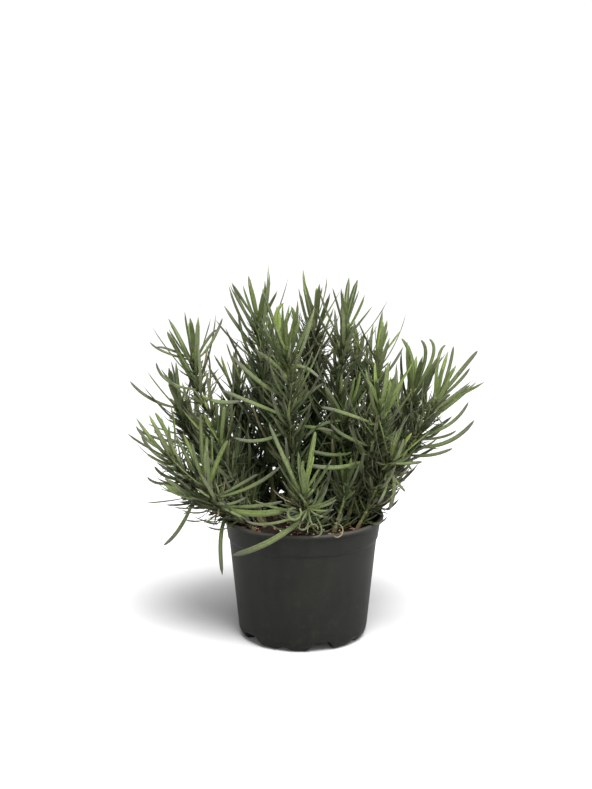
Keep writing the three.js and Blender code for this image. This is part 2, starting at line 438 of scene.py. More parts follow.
class Finish(Wiring):
    """A procedural material with one Principled shader."""

    def __init__(self, name: str) -> None:
        """Make an empty material.

        Args:
            name: The material's name.
        """
        self.material = bpy.data.materials.new(name)
        self.material.use_nodes = True
        super().__init__(self.material.node_tree)
        self.shader = self.tree.nodes["Principled BSDF"]
        self.place = self.add("ShaderNodeTexCoord").outputs["Object"]

    def set(self, **values: object) -> None:
        """Set or link the shader's inputs.

        Args:
            **values: What each input gets, by its name with _ for a space.
        """
        for name, value in values.items():
            self.feed(self.shader.inputs[name.replace("_", " ")], value)

    def grain(
        self, per_metre: float, detail: float = 3.0, rough: float = 0.55, at: object = None
    ) -> bpy.types.NodeSocket:
        """Fractal noise through the piece.

        Args:
            per_metre: How many lumps to a metre.
            detail: How many finer layers it has.
            rough: How strong the finer layers are.
            at: The coordinates, if they aren't the object's own.

        Returns:
            The noise, from 0 to 1.
        """
        node = self.add(
            "ShaderNodeTexNoise",
            {"Vector": at or self.place, "Scale": per_metre, "Detail": detail, "Roughness": rough},
        )
        return node.outputs[0]

    def attribute(self, name: str) -> bpy.types.NodeSocket:
        """A number stored on the mesh.

        Args:
            name: The attribute's name.

        Returns:
            The number.
        """
        return self.add("ShaderNodeAttribute", attribute_name=name).outputs["Fac"]

    def blend(
        self, share: object, first: object, second: object, how: str = "MIX"
    ) -> bpy.types.NodeSocket:
        """Mix two colours.

        Args:
            share: How much of the second one.
            first: The first colour.
            second: The second colour.
            how: The Mix node's blend type.

        Returns:
            The mixed colour.
        """
        node = self.add("ShaderNodeMix", data_type="RGBA", blend_type=how)
        self.feed(node.inputs["Factor"], share)
        colours = [s for s in node.inputs if s.type == "RGBA"]
        self.feed(colours[0], rgba(first))
        self.feed(colours[1], rgba(second))
        return next(s for s in node.outputs if s.type == "RGBA")

    def bump(self, height: object, depth: float, strength: float = 1.0) -> None:
        """Give the surface relief, on top of any it has.

        Args:
            height: The relief, from 0 to 1.
            depth: How deep it is, in metres.
            strength: How strongly it shows.
        """
        below = self.shader.inputs["Normal"].links
        node = self.add(
            "ShaderNodeBump", {"Strength": strength, "Distance": depth, "Height": height}
        )
        if below:
            self.tree.links.new(below[0].from_socket, node.inputs["Normal"])
        self.feed(self.shader.inputs["Normal"], node.outputs[0])


def rgba(colour: object) -> object:
    """Give a plain colour its opacity.

    Args:
        colour: A socket, or three numbers.

    Returns:
        The socket, or four numbers.
    """
    return (*colour, 1.0) if isinstance(colour, tuple) and len(colour) == 3 else colour


@dataclass(frozen=True)
class MouldedPlastic:
    """Charcoal nursery-pot plastic: satin, faintly mottled, a little dusty and scuffed, with
    painted shade towards the foot and a painted highlight along the lip.
    """

    body: Triple = (0.0096, 0.0100, 0.0085)
    streak: Triple = (0.0130, 0.0132, 0.0110)
    # Dust and scuff colour, also used for the painted highlight along the lip.
    dust_and_lip_highlight: Triple = (0.050, 0.046, 0.039)
    # Painted shade: the colour the pot darkens to near its foot, and the height where that shade
    # fades out.
    foot: Triple = (0.0026, 0.0028, 0.0024)
    foot_shade_fade: float = 70 * MM
    dusty_foot: float = 30 * MM
    dusty_collar: float = 88 * MM
    # Painted highlight along the lip: where it starts and where it is full, below the rim's top.
    lip: float = 2.5 * MM
    lip_highlight_full: float = 0.8 * MM
    shine: float = 0.09
    dull: Pair = (0.5, 0.7)
    pebble: float = 0.03 * MM
    flow_lines: float = 0.22 * MM

    def make(self) -> bpy.types.Material:
        """Build the material.

        Returns:
            The material.
        """
        f = Finish("charcoal_moulded_plastic")
        drawn = f.add("ShaderNodeMapping", {"Vector": f.place, "Scale": (1.0, 1.0, 0.12)})
        flow = f.grain(90.0, 4.0, 0.6, drawn.outputs[0])
        mottle = f.grain(38.0, 5.0, 0.62)
        tone = f.mapped(f.plus(flow, mottle), 0.8, 1.25, 0.0, 1.0)
        colour = f.blend(tone, self.body, self.streak)
        height = f.parts(f.place)[2]
        # Painted shade: darker towards the foot.
        colour = f.blend(f.mapped(height, 0.0, self.foot_shade_fade, 0.4, 0.0), colour, self.foot)
        low = f.mapped(height, 0.0, self.dusty_foot, 0.3, 0.0)
        high = f.mapped(height, self.dusty_collar, RIM_LEVEL, 0.0, 0.55)
        # Painted highlight: a pale band just under the rim's top.
        lip = f.mapped(height, RIM_LEVEL - self.lip, RIM_LEVEL - self.lip_highlight_full, 0.0, 0.5)
        colour = f.blend(lip, colour, self.dust_and_lip_highlight)
        patch = f.mapped(f.grain(140.0, 6.0, 0.68), 0.53, 0.72, 0.0, 1.0)
        settled = f.times(patch, f.plus(f.plus(low, high), 0.14))
        colour = f.blend(f.times(settled, 0.55), colour, self.dust_and_lip_highlight)
        scratch = f.add(
            "ShaderNodeMapping",
            {"Vector": f.place, "Rotation": (0.5, 0.9, 0.3), "Scale": (0.05, 1.0, 1.0)},
        )
        scuff = f.mapped(f.grain(420.0, 2.0, 0.5, scratch.outputs[0]), 0.7, 0.78, 0.0, 1.0)
        scuff = f.times(scuff, f.mapped(mottle, 0.5, 0.62, 0.0, 0.35))
        f.set(
            Base_Color=f.blend(scuff, colour, self.dust_and_lip_highlight),
            Roughness=f.mapped(f.plus(mottle, settled), 0.4, 1.1, *self.dull),
            Specular_IOR_Level=self.shine,
        )
        f.bump(f.grain(2600.0, 2.0, 0.5), self.pebble, 0.55)
        f.bump(flow, self.flow_lines, 0.35)
        return f.material


@dataclass(frozen=True)
class Foliage:
    """Lavender leaf and stem: bright young tips, dark above, felted grey-green below, with painted
    shade towards the middle of the plant.
    """

    young: Triple = (0.112, 0.160, 0.024)
    grown: Triple = (0.046, 0.070, 0.012)
    shaded: Triple = (0.014, 0.023, 0.005)
    felted: Triple = (0.124, 0.142, 0.073)
    rib: Triple = (0.180, 0.210, 0.070)
    tip: Triple = (0.050, 0.046, 0.043)
    green_stem: Triple = (0.17, 0.20, 0.075)
    wood: Triple = (0.115, 0.078, 0.043)
    dry: Triple = (0.16, 0.125, 0.070)
    spent: Triple = (0.035, 0.025, 0.017)
    # Painted shade: leaves near this point are darkened towards the shaded colour, fully within the
    # first distance and not at all beyond the second.
    shade_centre: Triple = (0.0, 25 * MM, 150 * MM)
    full_shade_within: float = 35 * MM
    shade_reach: float = 100 * MM
    shine: float = 0.15
    dull: Pair = (0.44, 0.62)
    down: float = 0.02
    down_tint: Triple = (0.86, 0.92, 0.8)
    relief: float = 0.12 * MM

    def make(self) -> bpy.types.Material:
        """Build the material.

        Returns:
            The material.
        """
        f = Finish("lavender_foliage")
        age, run, side = f.attribute("age"), f.attribute("run"), f.attribute("side")
        tint, stem, face = f.attribute("tint"), f.attribute("stem"), f.attribute("face")
        mottle = f.grain(240.0, 4.0, 0.6)
        above = f.blend(f.mapped(age, 0.03, 0.42, 0.0, 1.0), self.young, self.grown)
        above = f.blend(f.mapped(tint, 0.2, 0.75, 0.0, 1.0), above, self.shaded)
        rib = f.mapped(f.math("ABSOLUTE", side), 0.0, 0.24, 0.5, 0.0, smooth=True)
        above = f.blend(rib, above, self.rib)
        edge = f.mapped(f.math("ABSOLUTE", side), 0.66, 0.9, 0.0, 0.5, smooth=True)
        above = f.blend(edge, above, self.felted)
        below = f.blend(f.mapped(age, 0.0, 0.4, 0.55, 0.0), self.felted, self.young)
        below = f.blend(f.mapped(tint, 0.5, 0.9, 0.0, 0.8), below, self.shaded)
        leaf = f.blend(f.mapped(face, -0.35, 0.25, 1.0, 0.0), above, below)
        leaf = f.blend(f.mapped(mottle, 0.4, 0.8, 0.0, 0.35), leaf, self.felted)
        felt = f.times(f.attribute("felt"), f.mapped(age, 0.2, 0.6, 0.1, 0.38))
        leaf = f.blend(felt, leaf, self.felted)
        streaks = f.grain(620.0, 4.0, 0.7)
        leaf = f.blend(f.mapped(streaks, 0.47, 0.68, 0.0, 0.6), leaf, self.shaded)
        leaf = f.blend(f.mapped(streaks, 0.4, 0.25, 0.0, 0.35), leaf, self.felted)
        leaf = f.blend(f.mapped(run, 0.0, 0.2, 0.5, 0.0), leaf, self.rib)
        darkened = f.times(f.mapped(run, 0.55, 1.0, 0.0, 0.85), f.mapped(age, 0.2, 0.7, 0.1, 1.0))
        leaf = f.blend(darkened, leaf, self.tip)
        withered = f.times(f.mapped(tint, 0.9, 0.93, 0.0, 0.8), f.mapped(age, 0.6, 0.75, 0.0, 1.0))
        leaf = f.blend(withered, leaf, self.dry)
        spent = f.blend(f.mapped(tint, 0.3, 0.8, 0.0, 1.0), self.spent, self.shaded)
        leaf = f.blend(f.mapped(age, 1.05, 1.25, 0.0, 1.0), leaf, spent)
        bark = f.mapped(f.plus(age, f.times(mottle, 0.5)), 0.75, 1.3, 0.0, 1.0)
        bough = f.blend(bark, self.green_stem, self.wood)
        colour = f.blend(stem, leaf, bough)
        # Painted shade: darker towards the middle of the plant.
        inner = f.vector("LENGTH", f.vector("SUBTRACT", f.place, self.shade_centre))
        painted_core_shade = f.mapped(inner, self.full_shade_within, self.shade_reach, 0.9, 0.0, smooth=True)
        f.set(
            Base_Color=f.blend(painted_core_shade, colour, self.shaded),
            Roughness=f.mapped(mottle, 0.3, 0.7, *self.dull), Specular_IOR_Level=self.shine,
            Sheen_Weight=self.down, Sheen_Roughness=0.4, Sheen_Tint=rgba(self.down_tint),
        )
        f.bump(f.grain(1500.0, 3.0, 0.6), self.relief, 0.6)
        return f.material


@dataclass(frozen=True)
class Compost:
    """Moist peat-like compost, dark brown with lighter fibre."""

    dark: Triple = (0.006, 0.004, 0.003)
    brown: Triple = (0.019, 0.010, 0.007)
    fibre: Triple = (0.09, 0.046, 0.032)
    shine: float = 0.12
    dull: Pair = (0.72, 0.98)
    lump: float = 1.2 * MM
    crumb: float = 0.3 * MM

    def make(self) -> bpy.types.Material:
        """Build the material.

        Returns:
            The material.
        """
        f = Finish("moist_compost")
        lumps = f.grain(420.0, 6.0, 0.65)
        colour = f.blend(f.mapped(lumps, 0.35, 0.65, 0.0, 1.0), self.dark, self.brown)
        threads = f.mapped(f.grain(1300.0, 3.0, 0.6), 0.62, 0.74, 0.0, 0.6)
        f.set(
            Base_Color=f.blend(threads, colour, self.fibre),
            Roughness=f.mapped(lumps, 0.3, 0.7, *self.dull), Specular_IOR_Level=self.shine,
        )
        f.bump(lumps, self.lump, 0.9)
        f.bump(f.grain(2200.0, 2.0, 0.6), self.crumb, 0.6)
        return f.material


@dataclass(frozen=True)
class Litter:
    """Bark or grit on the compost, each bit of its own tone and flecked darker."""

    name: str
    first: Triple
    second: Triple
    dull: float = 0.8
    shine: float = 0.3
    relief: float = 0.4 * MM
    fleck: float = 0.45

    def make(self) -> bpy.types.Material:
        """Build the material.

        Returns:
            The material.
        """
        f = Finish(self.name)
        tone = f.attribute("tint")
        flecks = f.grain(900.0, 4.0, 0.65)
        colour = f.blend(tone, self.first, self.second)
        dark = tuple(self.fleck * c for c in self.first)
        f.set(
            Base_Color=f.blend(f.mapped(flecks, 0.5, 0.75, 0.0, 0.6), colour, dark),
            Roughness=self.dull, Specular_IOR_Level=self.shine,
        )
        f.bump(flecks, self.relief, 0.7)
        return f.material


# ---------------------------------------------------------------------------------------------
# Pieces
# ---------------------------------------------------------------------------------------------


def place_piece(mesh: bpy.types.Mesh, slot: str, *nodes: str) -> bpy.types.Object:
    """Put a finished mesh into the scene as one piece.

    Args:
        mesh: The mesh, in the frame's own place.
        slot: The record's material slot that it belongs to.
        *nodes: The CAD nodes that it stands for.

    Returns:
        The piece.
    """
    piece = bpy.data.objects.new(mesh.name, mesh)
    bpy.context.scene.collection.objects.link(piece)
    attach(piece, ROOT_BODY)
    if nodes:
        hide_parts(*nodes)
    log.info("%s: %d faces, %s", piece.name, len(mesh.polygons), slot)
    return piece


def smooth_mesh(
    name: str, points: list[Vector], faces: list[tuple[int, ...]], finish: bpy.types.Material
) -> bpy.types.Mesh:
    """Make a smooth mesh with one material.

    Args:
        name: The mesh's name.
        points: Its corners.
        faces: Its faces, each one turning left as seen from outside.
        finish: Its material.

    Returns:
        The mesh.
    """
    mesh = bpy.data.meshes.new(name)
    mesh.from_pydata(points, [], faces)
    mesh.validate()
    mesh.shade_smooth()
    mesh.materials.append(finish)
    return mesh


def ring_faces(rings: int, sides: int) -> list[tuple[int, ...]]:
    """The faces between rings of points that lie one after another.

    Args:
        rings: How many rings.
        sides: How many points in each.

    Returns:
        The faces.
    """
    faces = []
    for ring in range(rings - 1):
        here, there = ring * sides, (ring + 1) * sides
        for side in range(sides):
            on = (side + 1) % sides
            faces.append((here + side, here + on, there + on, there + side))
    return faces


class FootCut(Enum):
    """A cut in the foot's edge: its height, and half its width at its top and at its foot."""

    ARCH = (6.4 * MM, 6.2 * MM, 11.0 * MM)
    DIP = (2.2 * MM, 0.8 * MM, 6.6 * MM)


@dataclass
class NurseryPot:
    """The pot: a thin tapered wall, a collar with a rolled lip, and a scalloped foot."""

    finish: bpy.types.Material
    lip: float = 3.4 * MM
    collar: float = 18 * MM
    collar_top: float = 62.6 * MM
    collar_foot: float = 60.6 * MM
    wall_top: float = 59.4 * MM
    wall_foot: float = 52.2 * MM
    turn: float = 9 * MM
    foot: float = 45 * MM
    foot_ring: float = 4 * MM
    floor: float = 7 * MM
    wall: float = 1.2 * MM
    arches: int = 5
    first_arch: float = 17.0
    hole: float = 4.5 * MM
    hole_from_axis: float = 33 * MM
    hole_sides: int = 24
    sides: int = 360
    ripple: float = 0.12 * MM
    crease: float = 50.0

    def cut_height(self, bearing: float, radius: float) -> float:
        """How high the foot's edge is cut away.

        Args:
            bearing: Degrees from the front, to the right.
            radius: The distance from the pot's axis.

        Returns:
            The height of the edge there.
        """
        pitch = 360 / self.arches
        height = 0.0
        for kind, offset in ((FootCut.ARCH, 0.0), (FootCut.DIP, pitch / 2)):
            top, inner, outer = kind.value
            away = (bearing - self.first_arch - offset + pitch / 2) % pitch - pitch / 2
            across = abs(math.radians(away)) * radius
            share = min(max((outer - across) / (outer - inner), 0.0), 1.0)
            height = max(height, top * share * share * (3 - 2 * share))
        return height

    def profile(self, height: float) -> list[Pair]:
        """The wall's section from the inside of the foot, out and up, over the lip and down.

        Args:
            height: The pot's height.

        Returns:
            Radius and height of each point.
        """
        step = height - self.collar
        lip = height - self.lip
        inside = self.foot - self.foot_ring
        corner = [
            (self.foot + (self.wall_foot - self.foot) * math.sin(a) ** 0.9,
             self.turn * (1 - math.cos(a)) ** 0.95)
            for a in (math.pi / 2 * k / 7 for k in range(1, 8))
        ]
        rim = RIM_RADIUS
        return [
            (inside - 0.4 * MM, self.floor - 1.6 * MM),
            (inside, self.floor - 2.6 * MM),
            (inside + 0.1 * MM, 2.2 * MM),
            (inside + 0.2 * MM, 0.5 * MM),
            (inside + 0.7 * MM, 0.0),
            (self.foot - 0.8 * MM, 0.0),
            (self.foot - 0.2 * MM, 0.35 * MM),
            *corner,
            (self.wall_foot + 0.3 * MM, self.turn + 3 * MM),
            (self.wall_foot + (self.wall_top - self.wall_foot) * 0.5, (self.turn + step) / 2),
            (self.wall_top - 0.15 * MM, step - 3.0 * MM),
            (self.wall_top - 0.02 * MM, step - 1.2 * MM),
            (self.wall_top + 0.25 * MM, step - 0.75 * MM),
            (self.collar_foot - 0.35 * MM, step - 0.15 * MM),
            (self.collar_foot, step + 0.5 * MM),
            (self.collar_foot + 0.15 * MM, step + 2.0 * MM),
            (self.collar_top - 0.25 * MM, lip - 2.0 * MM),
            (self.collar_top, lip - 0.5 * MM),
            (self.collar_top + 0.5 * MM, lip),
            (rim - 1.0 * MM, lip + 0.05 * MM),
            (rim - 0.35 * MM, lip + 0.45 * MM),
            (rim, lip + 1.4 * MM),
            (rim - 0.1 * MM, height - 1.0 * MM),
            (rim - 0.6 * MM, height - 0.3 * MM),
            (rim - 1.3 * MM, height),
            (self.collar_top - self.wall + 1.0 * MM, height - 0.1 * MM),
            (self.collar_top - self.wall + 0.2 * MM, height - 0.7 * MM),
            (self.collar_top - self.wall, height - 2.0 * MM),
            (self.collar_foot - self.wall, step + 0.4 * MM),
            (self.wall_top - self.wall, step - 0.9 * MM),
            (self.wall_foot - self.wall + 0.4 * MM, self.turn + 2 * MM),
            (self.wall_foot - self.wall - 0.4 * MM, self.turn),
            (self.wall_foot - 4 * MM, self.floor),
        ]

    def build(self) -> bpy.types.Object:
        """Make the pot.

        Returns:
            The pot's piece.
        """
        height = POT_BOX[1][2] - POT_BOX[0][2]
        profile = self.profile(height)
        points: list[Vector] = []
        for radius, level in profile:
            for side in range(self.sides):
                degrees = side * 360 / self.sides
                angle = math.radians(degrees - 90)
                cut = self.cut_height(degrees, max(radius, self.foot - 2 * MM))
                z = level
                outside = radius > self.foot - self.foot_ring - 1 * MM
                inside = radius < self.foot and level > 3 * MM
                if level < self.turn and outside and not inside:
                    edge = min(cut, self.turn - 1.5 * MM)
                    z = edge + level * (self.turn - edge) / self.turn
                ripple = self.ripple * noise.noise(
                    Vector((math.cos(angle) * 1.3, math.sin(angle) * 1.3, level * 14))
                )
                on_wall = 20 * MM < level < height - 4 * MM
                spread = radius + (ripple if on_wall else 0.0)
                points.append(Vector((spread * math.cos(angle), spread * math.sin(angle), z)))
        faces = ring_faces(len(profile), self.sides)
        first = list(range(self.sides))
        last = [(len(profile) - 1) * self.sides + k for k in range(self.sides)]
        faces.append(tuple(reversed(first)))
        faces.append(tuple(last))
        mesh = smooth_mesh("nursery_pot", points, faces, self.finish)
        piece = place_piece(mesh, "pot_plastic", "pot")
        self.drill(piece)
        return piece

    def drill(self, piece: bpy.types.Object) -> None:
        """Cut the drain holes through the floor.

        Args:
            piece: The pot.
        """
        points: list[Vector] = []
        faces: list[tuple[int, ...]] = []
        count = self.hole_sides
        for arch in range(self.arches):
            angle = math.radians(self.first_arch + arch * 360 / self.arches - 90)
            centre = Vector((math.cos(angle), math.sin(angle), 0)) * self.hole_from_axis
            start = len(points)
            for level in (self.floor - 4 * MM, self.floor + 3 * MM):
                for k in range(count):
                    turn = 2 * math.pi * k / count
                    offset = Vector((math.cos(turn), math.sin(turn), 0)) * self.hole
                    points.append(centre + offset + Vector((0, 0, level)))
            for k in range(count):
                on = (k + 1) % count
                faces.append((start + k, start + on, start + count + on, start + count + k))
            faces.append(tuple(start + k for k in reversed(range(count))))
            faces.append(tuple(start + count + k for k in range(count)))
        bits = bpy.data.objects.new("bits", smooth_mesh("bits", points, faces, self.finish))
        bpy.context.scene.collection.objects.link(bits)
        cut = piece.modifiers.new("drain_holes", "BOOLEAN")
        cut.operation, cut.object, cut.solver = "DIFFERENCE", bits, "EXACT"
        depsgraph = bpy.context.evaluated_depsgraph_get()
        drilled = bpy.data.meshes.new_from_object(piece.evaluated_get(depsgraph))
        piece.modifiers.clear()
        drilled.name = "nursery_pot"
        piece.data = drilled
        bpy.data.objects.remove(bits)
        drilled.set_sharp_from_angle(angle=math.radians(self.crease))


def ground_level(radius: float) -> float:
    """The compost's height at a distance from the pot's axis.

    Args:
        radius: The distance.

    Returns:
        The height.
    """
    share = min(radius / COMPOST_REACH, 1.0)
    return COMPOST_BOX[1][2] - COMPOST_FALL * share * share


@dataclass
class CompostBed:
    """The compost in the pot, and what lies on it."""

    earth: bpy.types.Material
    bark: bpy.types.Material
    grit: bpy.types.Material
    rings: int = 70
    sides: int = 180
    relief: float = 2.4 * MM
    bare_edge: float = 2.5 * MM

    def surface(self, x: float, y: float) -> float:
        """The lumpy surface's height.

        Args:
            x: Across.
            y: Into the depth.

        Returns:
            The height.
        """
        spot = Vector((x, y, 0.0))
        coarse = noise.fractal(spot * 55, 1.0, 2.1, 4)
        fine = noise.fractal(spot * 260 + Vector((7, 3, 1)), 0.9, 2.2, 3)
        level = ground_level(math.hypot(x, y))
        return level + self.relief * (0.45 * coarse + 0.22 * fine) - 0.5 * MM

    def build(self) -> list[bpy.types.Object]:
        """Make the bed and its litter.

        Returns:
            Their pieces.
        """
        low, high = COMPOST_BOX
        top_radius = high[0]
        turns = [2 * math.pi * side / self.sides for side in range(self.sides)]
        points = [Vector((0, 0, self.surface(0, 0)))]
        for ring in range(1, self.rings + 1):
            radius = top_radius * ring / self.rings
            for angle in turns:
                x, y = radius * math.cos(angle), radius * math.sin(angle)
                points.append(Vector((x, y, self.surface(x, y))))
        down = [
            (59.2 * MM, high[2] - 12 * MM),
            (57.6 * MM, 80 * MM),
            (50.6 * MM, 10 * MM),
            (47.8 * MM, low[2]),
        ]
        for radius, level in down:
            for angle in turns:
                points.append(Vector((radius * math.cos(angle), radius * math.sin(angle), level)))
        faces: list[tuple[int, ...]] = [
            (0, 1 + side, 1 + (side + 1) % self.sides) for side in range(self.sides)
        ]
        for ring in range(self.rings + len(down) - 1):
            here, there = 1 + ring * self.sides, 1 + (ring + 1) * self.sides
            for side in range(self.sides):
                on = (side + 1) % self.sides
                faces.append((here + side, there + side, there + on, here + on))
        last = 1 + (self.rings + len(down) - 1) * self.sides
        faces.append(tuple(last + side for side in reversed(range(self.sides))))
        bed = smooth_mesh("compost_bed", points, faces, self.earth)
        pieces = [place_piece(bed, "compost", "compost")]
        tree = scatter_tree()
        for kind in Scatter:
            bit = kind.value
            mesh = tree.grow(
                bit.name,
                {
                    "Count": bit.count, "Spread": top_radius - self.bare_edge,
                    "Level": ground_level(0) + bit.lift, "Fall": COMPOST_FALL,
                    "Smallest": bit.smallest, "Largest": bit.largest, "Flatness": bit.flatness,
                    "Slimness": bit.slimness, "Seed": bit.seed, "Finish": getattr(self, bit.stuff),
                },
            )
            pieces.append(place_piece(mesh, "compost"))
        return pieces


@dataclass(frozen=True)
class ScatterKind:
    """One kind of bit that lies on the compost."""

    name: str
    stuff: str
    count: int
    smallest: float
    largest: float
    flatness: float
    slimness: float
    lift: float
    seed: int


class Scatter(Enum):
    """The kinds of bits on the compost."""

    CRUMBS = ScatterKind(
        "compost_crumbs", "earth", 1500, 0.8 * MM, 2.4 * MM, 0.7, 0.8, -0.6 * MM, 3
    )
    CHIPS = ScatterKind("bark_chips", "bark", 150, 2.2 * MM, 5.5 * MM, 0.3, 0.45, 0.2 * MM, 8)
    GRIT = ScatterKind("pale_grit", "grit", 70, 0.8 * MM, 2.0 * MM, 0.8, 0.8, 0.3 * MM, 21)


BIT_TILT = 0.5
BIT_SPIN = 6.28
SMALL_BITS = 1.8  # the higher, the more of the bits are small
CRUSH = 1.5 * MM
CRUSH_PER_METRE = 700.0


def scatter_tree() -> GeometryTree:
    """The tree that strews bits over the compost.

    Returns:
        The tree.
    """
    t = GeometryTree(
        "strewn_bits",
        {
            "Count": "count", "Spread": "number", "Level": "number", "Fall": "number",
            "Smallest": "number", "Largest": "number", "Flatness": "number", "Slimness": "number",
            "Seed": "count", "Finish": "material",
        },
    )
    g = t.given
    seed = g["Seed"]
    radius = t.times(t.math("SQRT", t.chance(0.0, 1.0, seed, 1)), g["Spread"])
    turn = t.chance(0.0, 2 * math.pi, seed, 2)
    share = t.math("DIVIDE", radius, COMPOST_REACH)
    fall = t.times(t.times(share, share), g["Fall"])
    place = t.xyz(
        t.times(t.math("COSINE", turn), radius), t.times(t.math("SINE", turn), radius),
        t.minus(g["Level"], fall),
    )
    points = t.made("GeometryNodePoints", {"Count": g["Count"], "Position": place})
    points = t.store(points, "tint", t.chance(0.0, 1.0, seed, 3))
    bit = t.made("GeometryNodeMeshIcoSphere", {"Radius": 1.0, "Subdivisions": 2})
    share = t.math("POWER", t.chance(0.0, 1.0, seed, 4), SMALL_BITS)
    size = t.plus(g["Smallest"], t.times(t.minus(g["Largest"], g["Smallest"]), share))
    half = t.times(size, 0.5)
    scale = t.xyz(half, t.times(half, g["Slimness"]), t.times(half, g["Flatness"]))
    rotation = t.xyz(
        t.chance(-BIT_TILT, BIT_TILT, seed, 5), t.chance(-BIT_TILT, BIT_TILT, seed, 6),
        t.chance(0.0, BIT_SPIN, seed, 7),
    )
    real = t.strewn(points, Instance=bit, Rotation=rotation, Scale=scale)
    t.finished(t.moved(real, Offset=t.wander(CRUSH_PER_METRE, CRUSH)))
    return t


# ---------------------------------------------------------------------------------------------
# The shoots
# ---------------------------------------------------------------------------------------------


@dataclass(frozen=True)
class Shoot:
    """One shoot: where it leaves the compost, where its stem ends, and how it is leafed.

    Positions are in millimetres and angles in degrees, as in the part's own layout.
    """

    name: str
    root: Pair
    tip: Triple
    lean: float
    pairs: int
    leaf: float
    turn: float


SHOOTS = (
    Shoot("crown_left", (-22, 7), (-36, 10, 264), 3, 14, 44, 20),
    Shoot("crown_mid", (-10, 20), (-20, 38, 234), 5, 12, 42, 60),
    Shoot("crown_back", (4, 26), (9, 48, 258), 4, 13, 39, 15),
    Shoot("crown_right", (13, 6), (34, 2, 258), 6, 14, 44, 0),
    Shoot("centre_front", (-6, -22), (-12, -38, 246), 2, 13, 46, 35),
    Shoot("left_top", (-30, -3), (-86, -8, 234), 4, 11, 44, 5),
    Shoot("left_outer", (-38, 8), (-101, 14, 192), 16, 12, 44, 0),
    Shoot("left_low", (-41, -2), (-107, -16, 160), 20, 9, 41, 10),
    Shoot("left_inner", (-30, -14), (-66, -18, 168), 4, 11, 38, 50),
    Shoot("left_trailing", (-46, -12), (-98, -18, 124), 60, 8, 34, 0),
    Shoot("front_left", (-38, -22), (-75, -40, 142), 2, 8, 44, 20),
    Shoot("front_centre", (6, -36), (0, -71, 142), 10, 7, 46, 10),
    Shoot("front_right", (24, -26), (34, -36, 140), 10, 8, 26, 40),
    Shoot("inner_right", (20, -12), (34, -16, 196), 4, 12, 34, 30),
    Shoot("right_front", (33, -14), (60, -40, 204), 4, 12, 40, 25),
    Shoot("right_low", (42, -20), (70, -36, 160), 14, 10, 34, 0),
    Shoot("right_top", (30, 2), (60, 8, 234), 6, 13, 40, 10),
    Shoot("right_high", (40, 0), (88, -4, 208), 10, 13, 42, 15),
    Shoot("right_outer", (45, -10), (107, -22, 203), 25, 10, 40, 0),
    Shoot("right_rim", (49, 2), (70, 10, 150), 14, 9, 30, 0),
    Shoot("back_right_top", (33, 14), (74, 58, 184), 10, 12, 34, 45),
    Shoot("back_right_outer", (44, 16), (86, 50, 172), 14, 11, 34, 0),
    Shoot("back_right_low", (37, 30), (66, 76, 146), 24, 10, 38, 30),
    Shoot("back_right_inner", (23, 20), (46, 62, 222), 6, 12, 38, 10),
    Shoot("back_centre", (6, 38), (6, 74, 214), 8, 12, 40, 0),
    Shoot("back_centre_low", (16, 44), (22, 73, 146), 23, 10, 40, 90),
    Shoot("back_left_inner", (-8, 32), (-34, 74, 198), 8, 11, 38, 40),
    Shoot("back_left_top", (-22, 20), (-56, 56, 198), 6, 12, 36, 20),
    Shoot("back_left_outer", (-36, 20), (-94, 54, 172), 18, 11, 38, 10),
    Shoot("back_left_low", (-24, 36), (-58, 74, 142), 22, 10, 38, 60),
)


@dataclass(frozen=True)
class StrayLeaf:
    """A long leaf away from the rule: its shoot, its line and its width, in millimetres."""

    shoot: str
    start: Triple
    via: Triple
    end: Triple
    width: float = 4.6
    age: float = 0.8


@dataclass(frozen=True)
class CurledLeaf:
    """One leaf that is rolled up, in millimetres and degrees."""

    shoot: str
    centre: Triple
    facing: Triple
    radius: float
    last_radius: float
    turns: float
    height: float
    width: float
    age: float
    tint: float


CURLED_LEAVES = (
    CurledLeaf("front_centre", (-7, -77, 122), (90, -40, 0), 5.4, 4.2, 0.93, 2.5, 2.3, 0.6, 0.1),
    CurledLeaf("front_centre", (8, -73, 108), (105, 150, 20), 5.4, 2.4, 0.6, 3.0, 1.1, 0.9, 0.92),
    CurledLeaf("front_right", (25, -64, 104), (75, -100, 25), 6.4, 3.0, 0.7, 5.0, 1.0, 0.9, 0.92),
)


